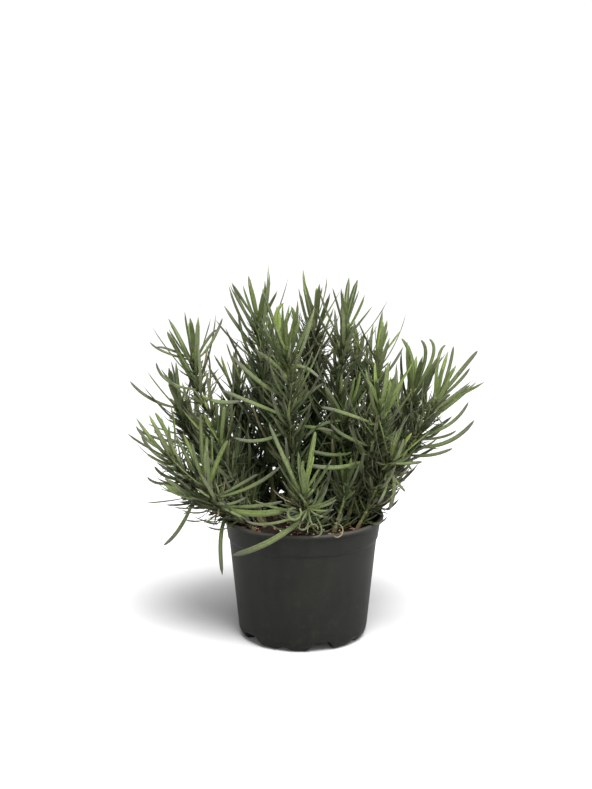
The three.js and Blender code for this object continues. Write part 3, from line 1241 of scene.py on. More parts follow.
STRAY_LEAVES = (
    StrayLeaf("front_centre", (4, -66, 119), (-23, -71, 99), (-55, -57, 82), 4.7, 0.65),
    StrayLeaf("centre_front", (-11, -35, 202), (-32, -41, 215), (-55, -43, 237), 3.3, 0.75),
    StrayLeaf("centre_front", (-12, -37, 219), (-24, -43, 232), (-35, -49, 241), 2.7, 0.6),
    StrayLeaf("centre_front", (-10, -34, 186), (-41, -44, 201), (-62, -48, 211), 3.0, 0.85),
    StrayLeaf("centre_front", (-12, -37, 227), (1, -45, 228), (13, -51, 220), 2.5, 0.7),
    StrayLeaf("centre_front", (-10, -33, 180), (9, -41, 180), (23, -45, 178), 2.7, 0.8),
    StrayLeaf("centre_front", (-10, -34, 189), (1, -42, 204), (15, -48, 216), 2.5, 0.7),
    StrayLeaf("centre_front", (-12, -38, 238), (-6, -42, 256), (-9, -46, 275), 3.3, 0.1),
    StrayLeaf("centre_front", (-12, -38, 238), (-21, -41, 262), (-15, -42, 277), 3.1, 0.15),
    StrayLeaf("right_front", (58, -38, 181), (32, -44, 192), (14, -50, 198), 2.8, 0.8),
    StrayLeaf("right_front", (54, -35, 163), (32, -43, 174), (21, -49, 185), 2.7, 0.7),
    StrayLeaf("inner_right", (30, -15, 158), (27, -23, 167), (13, -29, 176), 2.8, 0.8),
    StrayLeaf("inner_right", (30, -15, 156), (23, -25, 154), (5, -31, 159), 2.7, 0.85),
    StrayLeaf("right_front", (49, -30, 146), (24, -40, 148), (4, -48, 151), 3.3, 0.85),
    StrayLeaf("inner_right", (32, -15, 172), (29, -19, 188), (16, -23, 210), 3.0, 0.6),
    StrayLeaf("front_left", (-71, -38, 123), (-41, -46, 134), (-17, -50, 152), 3.0, 0.8),
    StrayLeaf("front_left", (-71, -38, 123), (-53, -44, 133), (-35, -48, 145), 2.5, 0.7),
    StrayLeaf("front_left", (-62, -36, 114), (-37, -58, 116), (-12, -68, 122), 5.1, 0.3),
    StrayLeaf("front_left", (-61, -35, 115), (-36, -58, 122), (-16, -66, 128), 2.8, 0.6),
    StrayLeaf("front_left", (-74, -40, 129), (-78, -40, 160), (-79, -42, 190), 2.8, 0.35),
    StrayLeaf("front_left", (-74, -40, 129), (-75, -43, 153), (-74, -46, 174), 3.1, 0.3),
    StrayLeaf("front_left", (-74, -40, 129), (-67, -43, 152), (-58, -46, 171), 3.7, 0.28),
    StrayLeaf("front_left", (-74, -40, 129), (-82, -38, 149), (-86, -38, 167), 2.7, 0.4),
    StrayLeaf("front_centre", (0, -69, 132), (-11, -71, 155), (-26, -71, 190), 3.1, 0.55),
    StrayLeaf("front_centre", (0, -70, 134), (6, -72, 166), (9, -72, 184), 3.7, 0.28),
    StrayLeaf("front_centre", (0, -70, 134), (-1, -73, 153), (-0, -75, 162), 3.3, 0.24),
    StrayLeaf("front_centre", (0, -70, 134), (9, -73, 150), (12, -75, 156), 2.2, 0.3),
    StrayLeaf("left_trailing", (-55, -14, 107), (-64, -31, 95), (-64, -31, 58), 3.4, 0.8),
    StrayLeaf("left_trailing", (-86, -17, 117), (-98, -19, 93), (-111, -20, 79), 3.1, 0.7),
    StrayLeaf("left_outer", (-98, 14, 183), (-121, 12, 191), (-138, 10, 206), 2.5, 0.9),
    StrayLeaf("left_outer", (-84, 12, 153), (-117, 12, 159), (-134, 12, 168), 2.3, 0.9),
    StrayLeaf("left_low", (-104, -15, 152), (-121, -17, 163), (-131, -19, 176), 2.3, 0.9),
    StrayLeaf("left_low", (-99, -14, 142), (-117, -17, 154), (-127, -20, 169), 2.7, 0.85),
    StrayLeaf("left_low", (-100, -14, 143), (-111, -16, 146), (-123, -20, 154), 2.3, 0.9),
    StrayLeaf("left_low", (-91, -13, 132), (-107, -16, 134), (-117, -21, 144), 2.5, 0.9),
    StrayLeaf("left_low", (-90, -12, 131), (-112, -10, 127), (-124, -8, 132), 2.3, 0.9),
    StrayLeaf("left_low", (-101, -15, 145), (-105, -18, 165), (-116, -19, 187), 3.3, 0.3),
    StrayLeaf("left_top", (-83, -8, 208), (-95, -10, 229), (-106, -12, 250), 3.6, 0.3),
    StrayLeaf("left_top", (-85, -8, 224), (-77, -8, 240), (-68, -8, 251), 2.3, 0.7),
    StrayLeaf("left_top", (-85, -8, 226), (-73, -8, 239), (-63, -8, 260), 2.2, 0.75),
    StrayLeaf("left_top", (-85, -8, 226), (-108, -8, 233), (-120, -8, 241), 1.9, 0.9),
    StrayLeaf("left_top", (-85, -8, 226), (-104, -8, 235), (-115, -8, 237), 1.9, 0.9),
    StrayLeaf("left_top", (-82, -8, 203), (-105, -11, 210), (-115, -14, 226), 2.3, 0.8),
    StrayLeaf("right_outer", (104, -21, 196), (121, -23, 219), (135, -24, 237), 3.3, 0.5),
    StrayLeaf("right_outer", (104, -21, 196), (120, -19, 210), (130, -17, 222), 2.5, 0.6),
    StrayLeaf("right_outer", (94, -19, 176), (112, -21, 194), (130, -23, 210), 2.5, 0.8),
    StrayLeaf("right_outer", (97, -20, 183), (106, -26, 196), (114, -30, 204), 2.8, 0.6),
    StrayLeaf("right_outer", (89, -18, 167), (114, -22, 178), (129, -22, 196), 2.7, 0.9),
    StrayLeaf("right_outer", (87, -18, 165), (108, -15, 166), (121, -12, 171), 2.2, 0.9),
    StrayLeaf("right_outer", (83, -17, 159), (112, -27, 165), (133, -29, 183), 3.4, 0.8),
    StrayLeaf("right_outer", (80, -17, 153), (98, -29, 155), (116, -35, 162), 2.7, 0.9),
    StrayLeaf("right_high", (86, -4, 196), (86, -7, 225), (77, -8, 244), 3.3, 0.35),
    StrayLeaf("right_high", (87, -4, 200), (96, -7, 228), (92, -10, 243), 3.0, 0.3),
    StrayLeaf("right_high", (87, -4, 200), (102, -4, 228), (99, -4, 243), 2.8, 0.3),
    StrayLeaf("right_outer", (104, -21, 196), (105, -17, 227), (111, -15, 240), 2.7, 0.4),
    StrayLeaf("right_outer", (104, -21, 196), (112, -25, 219), (116, -27, 241), 2.7, 0.4),
    StrayLeaf("right_front", (58, -38, 182), (55, -42, 204), (49, -46, 218), 3.7, 0.15),
    StrayLeaf("right_front", (59, -39, 186), (65, -42, 202), (66, -44, 218), 3.4, 0.1),
    StrayLeaf("right_low", (72, -36, 150), (81, -39, 151), (92, -42, 153), 2.5, 0.9),
    StrayLeaf("right_low", (69, -34, 144), (71, -36, 129), (67, -38, 113), 3.3, 0.8),
    StrayLeaf("right_low", (68, -34, 142), (74, -34, 134), (80, -34, 127), 2.2, 0.9),
    StrayLeaf("right_low", (72, -36, 151), (79, -32, 150), (85, -28, 143), 1.9, 0.9),
    StrayLeaf("front_centre", (4, -71, 124), (13, -75, 132), (18, -78, 143), 1.9, 0.55),
    StrayLeaf("front_centre", (4, -71, 124), (9, -75, 131), (11, -78, 141), 1.7, 0.55),
    StrayLeaf("front_centre", (4, -71, 124), (16, -75, 127), (25, -78, 133), 1.9, 0.55),
    StrayLeaf("front_centre", (4, -71, 124), (13, -75, 123), (23, -78, 125), 1.7, 0.55),
    StrayLeaf("front_centre", (4, -71, 124), (10, -75, 120), (18, -78, 119), 1.7, 0.55),
    StrayLeaf("front_centre", (4, -71, 124), (5, -75, 117), (7, -78, 113), 1.7, 0.55),
    StrayLeaf("front_centre", (4, -71, 124), (1, -75, 119), (-1, -78, 116), 1.5, 0.55),
    StrayLeaf("front_centre", (4, -71, 124), (2, -75, 129), (-3, -78, 137), 1.9, 0.55),
    StrayLeaf("front_centre", (4, -71, 124), (11, -75, 128), (15, -78, 134), 1.5, 0.55),
    StrayLeaf("front_centre", (4, -71, 124), (-3, -75, 120), (-9, -78, 119), 1.7, 0.55),
    StrayLeaf("right_front", (45, -34, 151), (24, -52, 151), (4, -62, 156), 3.4, 0.8),
    StrayLeaf("inner_right", (38, -24, 156), (24, -40, 158), (6, -50, 164), 2.7, 0.85),
    StrayLeaf("front_centre", (5, -71, 121), (2, -74, 109), (-5, -76, 111), 1.5, 0.8),
    StrayLeaf("front_centre", (4, -71, 121), (-25, -72, 112), (-44, -70, 114), 2.3, 0.7),
    StrayLeaf("front_centre", (7, -71, 121), (14, -73, 107), (7, -74, 102), 1.4, 0.8),
    StrayLeaf("centre_front", (-12, -32, 176), (-33, -42, 170), (-53, -46, 173), 2.8, 0.8),
    StrayLeaf("left_inner", (-78, -18, 200), (-65, -26, 197), (-49, -28, 198), 3.2, 0.75),
    StrayLeaf("crown_left", (-45, 5, 198), (-54, -4, 222), (-60, -8, 240), 1.6, 1.0),
    StrayLeaf("crown_left", (-48, 5, 215), (-53, -2, 231), (-51, -4, 241), 1.4, 1.0),
    StrayLeaf("inner_right", (38, -16, 180), (15, -26, 179), (1, -32, 168), 2.6, 0.85),
    StrayLeaf("front_left", (-70, -38, 124), (-60, -46, 120), (-44, -50, 127), 2.2, 0.7),
    StrayLeaf("front_left", (-68, -38, 119), (-55, -48, 114), (-41, -52, 109), 2.0, 0.8),
    StrayLeaf("right_low", (66, -36, 139), (63, -44, 129), (58, -46, 121), 2.4, 0.85),
)


CLEARANCES = {
    "Ground": "number", "Rim radius": "number", "Rim level": "number", "Left gap": "vector",
    "Left gap radius": "number", "Right gap": "vector", "Right gap radius": "number",
}
BLADE_VECTORS = ("Foot", "Along", "Across")
BLADE_NUMBERS = ("Length", "Width", "Base angle", "Tip angle", "Age")


@dataclass
class LavenderGrowth:
    """Grows every shoot with Geometry Nodes.

    Lengths are in metres and angles in radians, but the two gaps and the start of the back are in
    millimetres, as the shoots are. The stem's side and rounding are shares of its radius, and a
    blade's thickness, groove, rib and rolled edge are shares of half its width.
    """

    finish: bpy.types.Material
    leaf_width: float = 4.0 * MM
    leafiness: float = 1.2
    crowding: float = 1.75
    tip_drop: float = 8 * MM
    axil_leaves: int = 5
    spent_leaves: int = 90
    stem_base: float = 1.25 * MM
    stem_tip: float = 0.7 * MM
    rim_clearance: float = 1.2 * MM
    left_gap: Triple = (-31.0, -40.0, 128.0)
    left_gap_radius: float = 24 * MM
    right_gap: Triple = (38.0, -44.0, 107.0)
    right_gap_radius: float = 20 * MM
    stem_steps: int = 48
    stem_rings: int = 56
    tube_rings: int = 110
    stray_steps: int = 20
    curl_steps: int = 28
    stray_corners: int = 12
    stray_faces: Triple = (0.15, -1.0, 0.25)
    stem_side: float = 1.9
    stem_rounding: float = 0.42
    stem_slack: float = 1.06
    knot_swelling: float = 0.45
    wander_per_metre: float = 22.0
    wander: float = 8 * MM
    most_leafy: float = 0.84
    leafy_length: float = 128 * MM
    back_starts: float = 40.0
    back_thatch: int = 3
    first_seed: int = 101
    seed_step: int = 17
    closed_leaf: float = math.radians(8)
    opening: float = math.radians(66)
    swirl: float = math.pi / 5
    jitter: float = 0.28
    sway: float = 0.12
    twist: float = 0.7
    thickness: float = 0.2
    groove: float = 0.24
    rib: float = 0.14
    rolled_edge: float = 0.36
    gap_reach: float = 0.6
    length_spread: Pair = (0.72, 1.16)
    width_spread: Pair = (0.8, 1.1)
    base_spread: Pair = (-0.12, 0.16)
    tip_spread: Pair = (-0.28, 0.3)
    axil_turn: Pair = (-0.5, 0.5)
    axil_length: Pair = (0.22, 0.62)
    axil_width: Pair = (0.4, 0.66)
    axil_angle: Pair = (0.12, 0.85)
    axil_shift: float = 2 * MM
    thatch_reach: Pair = (0.5, 1.95)
    thatch_jitter: Pair = (-0.8, 0.8)
    thatch_angle: Pair = (0.5, 1.9)
    thatch_bend: Pair = (-1.0, 0.7)
    thatch_age: Pair = (0.8, 1.3)
    thatch_slide: float = 5 * MM
    thatch_length: Pair = (8 * MM, 26 * MM)
    thatch_width: Pair = (1.2 * MM, 2.4 * MM)
    rim_inside: float = 14 * MM
    rim_play: float = 3 * MM
    overhang: float = 25 * MM
    overhang_fall: float = 30 * MM
    ground_play: float = 1.5 * MM

    def leaf_frame_tree(self) -> GeometryTree:
        """The tree that says where leaf number N of a shoot grows.

        Returns:
            The tree.
        """
        t = GeometryTree(
            "leaf_place",
            {
                "Stem": "geometry", "Number": "count", "Pairs": "count", "First bearing": "number",
                "Leafy share": "number", "Jitter": "number",
            },
            {"Foot": "vector", "Along": "vector", "Across": "vector", "Age": "number"},
        )
        g = t.given
        pair = t.math("FLOOR", t.math("DIVIDE", g["Number"], 2.0))
        half = t.math("MODULO", g["Number"], 2.0)
        age = t.math("DIVIDE", pair, t.minus(g["Pairs"], 1.0))
        down = t.plus(0.005, t.times(t.math("POWER", age, self.crowding), 0.995))
        factor = t.minus(1.0, t.times(g["Leafy share"], down))
        sample = t.add(
            "GeometryNodeSampleCurve", {"Curves": g["Stem"], "Factor": factor}, mode="FACTOR",
            use_all_curves=True,
        )
        along = sample.outputs["Tangent"]
        bearing = t.plus(
            t.plus(g["First bearing"], t.times(pair, math.pi / 2)),
            t.plus(t.times(half, math.pi), t.plus(g["Jitter"], t.times(age, self.swirl))),
        )
        flat = t.xyz(t.math("COSINE", bearing), t.math("SINE", bearing), 0.0)
        lean = t.vector("SCALE", along, t.vector("DOT_PRODUCT", flat, along))
        across = t.vector("NORMALIZE", t.vector("SUBTRACT", flat, lean))
        foot = sample.outputs["Position"]
        for name, value in {"Foot": foot, "Along": along, "Across": across, "Age": age}.items():
            t.feed(t.result[name], value)
        return t

    def blade_tree(self) -> GeometryTree:
        """The tree that lays one blade on every point.

        Each blade is a closed body with rolled margins, a groove above and a rib below, bent in
        the plane of its stem and its bearing, and kept clear of the compost and the rim.

        Returns:
            The tree.
        """
        t = GeometryTree(
            "leaf_blades",
            {"Points": "geometry"}
            | dict.fromkeys(BLADE_VECTORS, "vector")
            | dict.fromkeys(BLADE_NUMBERS, "number")
            | {"Seed": "count", "Corners": "count", "Steps": "count"}
            | CLEARANCES,
        )
        g = t.given
        points = g["Points"]
        for name in BLADE_VECTORS:
            points = t.store(points, name.lower(), g[name], "FLOAT_VECTOR")
        for name in BLADE_NUMBERS:
            points = t.store(points, name.lower(), g[name])
        points = t.store(points, "tint", t.chance(0.0, 1.0, g["Seed"], 31))
        points = t.store(points, "sway", t.chance(-self.sway, self.sway, g["Seed"], 32))
        points = t.store(points, "twist", t.chance(-self.twist, self.twist, g["Seed"], 33))
        points = self.thinned(t, points)
        blank = t.add(
            "GeometryNodeMeshCylinder",
            {
                "Vertices": g["Corners"], "Side Segments": g["Steps"], "Fill Segments": 1,
                "Radius": 1.0, "Depth": 1.0,
            },
            fill_type="NGON",
        ).outputs["Mesh"]
        spot = t.parts(t.here())
        blank = t.store(blank, "side", spot[0])
        blank = t.store(blank, "face", spot[1])
        blank = t.store(blank, "run", t.plus(spot[2], 0.5))
        real = t.strewn(points, Instance=blank)

        run, side, face = t.stored("run"), t.stored("side"), t.stored("face")
        wide, span = t.stored("width"), t.stored("length")
        base, tip = t.stored("base angle"), t.stored("tip angle")
        along, across = t.stored("along", "FLOAT_VECTOR"), t.stored("across", "FLOAT_VECTOR")
        outline = t.shaped(
            run,
            (
                (0.0, 0.58), (0.12, 0.78), (0.32, 0.97), (0.6, 1.0), (0.82, 0.84), (0.94, 0.52),
                (1.0, 0.12),
            ),
        )
        half = t.times(wide, 0.5, outline)
        bend = t.times(t.minus(tip, base), run)
        angle = t.plus(base, bend)
        middle = t.plus(base, t.times(bend, 0.5))
        # A bent blade's chord is shorter than the blade by about the bend squared over 24.
        shrink = t.minus(1.0, t.math("DIVIDE", t.times(bend, bend), 24.0))
        chord = t.times(span, run, shrink)
        edgewise = t.vector("CROSS_PRODUCT", along, across)
        squared = t.times(run, run)
        sway = t.times(t.stored("sway"), span, squared)
        rise = t.times(span, squared, t.mapped(t.stored("age"), 0.0, 1.0, 0.02, 0.22))
        centre = t.total(
            t.stored("foot", "FLOAT_VECTOR"),
            t.vector("SCALE", along, t.times(t.math("COSINE", middle), chord)),
            t.vector("SCALE", across, t.times(t.math("SINE", middle), chord)),
            t.vector("SCALE", edgewise, sway), t.xyz(0.0, 0.0, rise),
        )
        centre = self.cleared(t, centre)
        upper = t.vector(
            "SUBTRACT", t.vector("SCALE", along, t.math("SINE", angle)),
            t.vector("SCALE", across, t.math("COSINE", angle)),
        )
        across_blade = t.times(side, half)
        off_blade = self.section_height(t, half, side, face)
        turn = t.times(t.stored("twist"), run)
        cos, sin = t.math("COSINE", turn), t.math("SINE", turn)
        x = t.minus(t.times(across_blade, cos), t.times(off_blade, sin))
        y = t.plus(t.times(across_blade, sin), t.times(off_blade, cos))
        place = t.total(centre, t.vector("SCALE", edgewise, x), t.vector("SCALE", upper, y))
        t.feed(t.result["Geometry"], t.smoothed(t.moved(real, Position=place)))
        return t

    def thinned(self, t: GeometryTree, points: object) -> object:
        """Take away the blades whose middle hangs in one of the two gaps between the shoots.

        Args:
            t: The tree.
            points: A point for each blade, with the blade's own values.

        Returns:
            The points that are left.
        """
        angle, reach = t.stored("base angle"), t.times(t.stored("length"), self.gap_reach)
        along, across = t.stored("along", "FLOAT_VECTOR"), t.stored("across", "FLOAT_VECTOR")
        middle = t.total(
            t.stored("foot", "FLOAT_VECTOR"),
            t.vector("SCALE", along, t.times(t.math("COSINE", angle), reach)),
            t.vector("SCALE", across, t.times(t.math("SINE", angle), reach)),
        )
        for gap in ("Left gap", "Right gap"):
            away = t.vector("LENGTH", t.vector("SUBTRACT", middle, t.given[gap]))
            inside = t.math("LESS_THAN", away, t.given[gap + " radius"])
            points = t.made("GeometryNodeDeleteGeometry", {"Geometry": points, "Selection": inside})
        return points

    def section_height(
        self, t: GeometryTree, half: object, side: object, face: object
    ) -> bpy.types.NodeSocket:
        """How far a corner of the blade's section stands off the blade's middle plane.

        Args:
            t: The tree.
            half: Half of the blade's width there.
            side: The corner's place across the blade, from -1 to 1.
            face: The corner's place through the blade, from -1 below to 1 above.

        Returns:
            The height.
        """
        fourth = t.math("POWER", t.math("ABSOLUTE", side), 4.0)
        groove = t.times(t.math("GREATER_THAN", face, 0.9), self.groove)
        rib = t.times(t.math("LESS_THAN", face, -0.9), self.rib)
        height = t.minus(t.times(face, self.thickness), t.times(fourth, self.rolled_edge))
        height = t.minus(height, t.plus(groove, rib))
        return t.times(height, half)

    def cleared(self, t: GeometryTree, place: bpy.types.NodeSocket) -> bpy.types.NodeSocket:
        """Lift a point off the compost and over the pot's rim.

        Args:
            t: The tree.
            place: The point.

        Returns:
            The lifted point.
        """
        g = t.given
        parts = t.parts(place)
        radius = t.vector("LENGTH", t.xyz(parts[0], parts[1], 0.0))
        inner = t.minus(g["Rim radius"], self.rim_inside)
        lip = t.minus(g["Rim radius"], self.rim_play)
        floor = t.mapped(radius, inner, lip, g["Ground"], g["Rim level"], smooth=True)
        beyond = t.plus(g["Rim radius"], self.rim_play)
        hung = t.plus(beyond, self.overhang)
        floor = t.minus(floor, t.mapped(radius, beyond, hung, 0.0, self.overhang_fall))
        z = t.math("MAXIMUM", parts[2], floor)
        return t.xyz(parts[0], parts[1], z)

    def shoot_tree(self) -> GeometryTree:
        """The tree that grows one shoot: its stem, its leaves and the small leaves in their axils.

        Returns:
            The tree.
        """
        frame_tree, blades = self.leaf_frame_tree(), self.blade_tree()
        t = GeometryTree(
            "lavender_shoot",
            {
                "Root": "vector", "Root pull": "vector", "Tip pull": "vector", "Tip": "vector",
                "Leaf pairs": "count", "Leaf length": "number", "Leaf width": "number",
                "First bearing": "number", "Leafy share": "number", "Axil leaves": "count",
                "Spent leaves": "count", "Stem radius below": "number",
                "Stem radius above": "number", "Seed": "count", "Finish": "material", **CLEARANCES,
            },
        )
        g = t.given
        bezier = t.made(
            "GeometryNodeCurvePrimitiveBezierSegment",
            {
                "Resolution": self.stem_steps, "Start": g["Root"], "Start Handle": g["Root pull"],
                "End Handle": g["Tip pull"], "End": g["Tip"],
            },
            mode="POSITION",
        )
        line = {"Curve": bezier, "Count": self.stem_rings}
        resampled = t.made("GeometryNodeResampleCurve", line)
        factor = t.factor()
        free = t.times(factor, t.minus(1.0, factor), 4.0)
        most = t.times(free, self.wander)
        stem = t.moved(resampled, Offset=t.wander(self.wander_per_metre, most))

        count = t.times(g["Leaf pairs"], 2.0)
        index = t.index()
        seed = g["Seed"]
        leaf_points = t.made("GeometryNodePoints", {"Count": count})
        spot = t.use(
            frame_tree,
            {
                "Stem": stem, "Number": index, "Pairs": g["Leaf pairs"],
                "First bearing": g["First bearing"], "Leafy share": g["Leafy share"],
                "Jitter": t.chance(-self.jitter, self.jitter, seed, 1),
            },
        ).outputs
        age = spot["Age"]
        young = t.mapped(age, 0.0, 0.25, 0.78, 1.1, smooth=True)
        old = t.mapped(age, 0.6, 1.0, 1.0, 0.86)
        length = t.times(g["Leaf length"], t.times(young, old))
        length = t.times(length, t.chance(*self.length_spread, seed, 2))
        opened = t.times(t.math("POWER", age, 0.72), self.opening)
        base = t.plus(opened, t.plus(self.closed_leaf, t.chance(*self.base_spread, seed, 3)))
        tip = t.times(base, t.minus(0.85, t.times(age, 0.5)))
        tip = t.plus(tip, t.chance(*self.tip_spread, seed, 4))
        width = t.times(
            g["Leaf width"],
            t.times(t.mapped(age, 0.1, 0.5, 1.0, 0.74), t.chance(*self.width_spread, seed, 5)),
        )
        limits = {name: g[name] for name in CLEARANCES}
        leaves = t.use(
            blades,
            {
                "Points": leaf_points, "Foot": spot["Foot"], "Along": spot["Along"],
                "Across": spot["Across"], "Length": length, "Width": width, "Base angle": base,
                "Tip angle": tip, "Age": age, "Seed": seed, "Corners": 8, "Steps": 8, **limits,
            },
        ).outputs[0]
        axils = self.axil_leaves_of(t, frame_tree, blades, stem, limits)
        thatch = self.thatch_of(t, frame_tree, blades, stem, limits)
        tube = self.stem_tube(t, stem)
        joined = t.add("GeometryNodeJoinGeometry")
        for part in (tube, thatch, axils, leaves):
            t.tree.links.new(part, joined.inputs[0])
        cleaned = joined.outputs[0]
        spare = {name.lower() for name in BLADE_VECTORS + BLADE_NUMBERS} - {"age"}
        for name in sorted(spare | {"sway", "twist"}):
            cleaned = t.made("GeometryNodeRemoveAttribute", {"Geometry": cleaned, "Name": name})
        t.finished(cleaned)
        return t

    def axil_leaves_of(
        self, t: GeometryTree, frame_tree: GeometryTree, blades: GeometryTree, stem: object,
        limits: dict[str, object],
    ) -> bpy.types.NodeSocket:
        """The small leaves that sprout between each leaf and the stem.

        Args:
            t: The shoot's tree.
            frame_tree: The tree that says where a leaf grows.
            blades: The tree that lays the blades.
            stem: The stem's curve.
            limits: Where the compost and the rim are.

        Returns:
            Their geometry.
        """
        g, seed = t.given, t.given["Seed"]
        each = g["Axil leaves"]
        index = t.index()
        number = t.math("FLOOR", t.math("DIVIDE", index, each))
        which = t.math("MODULO", index, each)
        count = t.times(g["Leaf pairs"], 2.0, each)
        points = t.made("GeometryNodePoints", {"Count": count})
        spot = t.use(
            frame_tree,
            {
                "Stem": stem, "Number": number, "Pairs": g["Leaf pairs"],
                "First bearing": g["First bearing"], "Leafy share": g["Leafy share"], "Jitter": 0.0,
            },
        ).outputs
        age, along, across = spot["Age"], spot["Along"], spot["Across"]
        tilt = t.plus(0.35, t.times(age, 0.35))
        shoot = t.swung(along, across, tilt)
        edgewise = t.vector("CROSS_PRODUCT", along, across)
        inward = t.vector("CROSS_PRODUCT", shoot, edgewise)
        turn = t.plus(t.times(which, math.pi / 2), t.chance(*self.axil_turn, seed, 11))
        own = t.swung(edgewise, inward, turn)
        grown = t.mapped(age, 0.12, 0.6, 0.0, 1.0)
        length = t.times(g["Leaf length"], t.chance(*self.axil_length, seed, 12))
        length = t.times(length, t.plus(0.35, t.times(grown, 0.65)))
        width = t.times(g["Leaf width"], t.chance(*self.axil_width, seed, 13))
        base = t.chance(*self.axil_angle, seed, 14)
        foot = t.vector(
            "ADD", spot["Foot"], t.vector("SCALE", shoot, t.times(grown, self.axil_shift))
        )
        blades_node = t.use(
            blades,
            {
                "Points": points, "Foot": foot, "Along": shoot, "Across": own, "Length": length,
                "Width": width, "Base angle": base, "Tip angle": t.times(base, 0.5),
                "Age": t.times(age, 0.8), "Seed": t.plus(seed, 5.0), "Corners": 6, "Steps": 5,
                **limits,
            },
        )
        return blades_node.outputs[0]

    def thatch_of(
        self, t: GeometryTree, frame_tree: GeometryTree, blades: GeometryTree, stem: object,
        limits: dict[str, object],
    ) -> bpy.types.NodeSocket:
        """The spent and shaded little leaves that stand every way along the lower stem.

        Args:
            t: The shoot's tree.
            frame_tree: The tree that says where a leaf grows.
            blades: The tree that lays the blades.
            stem: The stem's curve.
            limits: Where the compost and the rim are.

        Returns:
            Their geometry.
        """
        g, seed = t.given, t.given["Seed"]
        points = t.made("GeometryNodePoints", {"Count": g["Spent leaves"]})
        number = t.times(t.chance(*self.thatch_reach, seed, 21), g["Leaf pairs"])
        spot = t.use(
            frame_tree,
            {
                "Stem": stem, "Number": t.math("FLOOR", number), "Pairs": g["Leaf pairs"],
                "First bearing": t.chance(-math.pi, math.pi, seed, 22),
                "Leafy share": g["Leafy share"], "Jitter": t.chance(*self.thatch_jitter, seed, 23),
            },
        ).outputs
        most = self.thatch_slide
        slide = t.vector("SCALE", spot["Along"], t.chance(-most, most, seed, 24))
        base = t.chance(*self.thatch_angle, seed, 25)
        return t.use(
            blades,
            {
                "Points": points, "Foot": t.vector("ADD", spot["Foot"], slide),
                "Along": spot["Along"], "Across": spot["Across"],
                "Length": t.chance(*self.thatch_length, seed, 26),
                "Width": t.chance(*self.thatch_width, seed, 27), "Base angle": base,
                "Tip angle": t.plus(base, t.chance(*self.thatch_bend, seed, 28)),
                "Age": t.chance(*self.thatch_age, seed, 29), "Seed": t.plus(seed, 9.0),
                "Corners": 6, "Steps": 4, **limits,
            },
        ).outputs[0]

    def stem_tube(self, t: GeometryTree, stem: bpy.types.NodeSocket) -> bpy.types.NodeSocket:
        """The stem: four-cornered, tapered, and a little thicker at every pair of leaves.

        Args:
            t: The shoot's tree.
            stem: The stem's curve.

        Returns:
            Its geometry.
        """
        g = t.given
        factor = t.factor()
        down = t.math("DIVIDE", t.minus(1.0, factor), g["Leafy share"])
        knot = t.times(
            t.math("POWER", t.math("MINIMUM", down, 1.0), 1 / self.crowding),
            t.minus(g["Leaf pairs"], 1.0),
        )
        swelling = t.mapped(
            t.math("PINGPONG", knot, 0.5), 0.0, 0.16, self.knot_swelling, 0.0, smooth=True
        )
        taper = t.mapped(factor, 0.0, 1.0, g["Stem radius below"], g["Stem radius above"])
        radius = t.times(taper, t.plus(1.0, swelling))
        evened = {"Curve": stem, "Count": self.tube_rings}
        line = t.made("GeometryNodeResampleCurve", evened)
        line = t.store(line, "age", t.minus(1.0, factor))
        square = {"Width": self.stem_side, "Height": self.stem_side}
        corner = t.made("GeometryNodeCurvePrimitiveQuadrilateral", square)
        rounding = {"Curve": corner, "Radius": self.stem_rounding, "Count": 2}
        corner = t.made("GeometryNodeFilletCurve", rounding, mode="POLY")
        tube = t.made(
            "GeometryNodeCurveToMesh",
            {"Curve": line, "Profile Curve": corner, "Scale": radius, "Fill Caps": True},
        )
        return t.smoothed(t.store(tube, "stem", 1.0))

    def stray_tree(self) -> GeometryTree:
        """The tree that makes one long leaf from its start through a point to its end.

        Returns:
            The tree.
        """
        t = GeometryTree(
            "stray_leaf",
            {
                "Start": "vector", "Middle": "vector", "End": "vector", "Width": "number",
                "Age": "number", "Tint": "number", "Finish": "material",
            },
        )
        g = t.given
        line = t.made(
            "GeometryNodeCurveQuadraticBezier",
            {
                "Resolution": self.stray_steps, "Start": g["Start"], "Middle": g["Middle"],
                "End": g["End"],
            },
        )
        return self.blade_along(t, line)

    def curl_tree(self) -> GeometryTree:
        """The tree that makes one leaf rolled up like a spring.

        Returns:
            The tree.
        """
        t = GeometryTree(
            "curled_leaf",
            {
                "Centre": "vector", "Facing": "vector", "Radius": "number", "Last radius": "number",
                "Turns": "number", "Height": "number", "Width": "number", "Age": "number",
                "Tint": "number", "Finish": "material",
            },
        )
        g = t.given
        line = t.made(
            "GeometryNodeCurveSpiral",
            {
                "Resolution": self.curl_steps, "Rotations": g["Turns"], "Start Radius": g["Radius"],
                "End Radius": g["Last radius"], "Height": g["Height"],
            },
        )
        line = t.made(
            "GeometryNodeTransform",
            {"Geometry": line, "Translation": g["Centre"], "Rotation": g["Facing"]},
        )
        return self.blade_along(t, line)

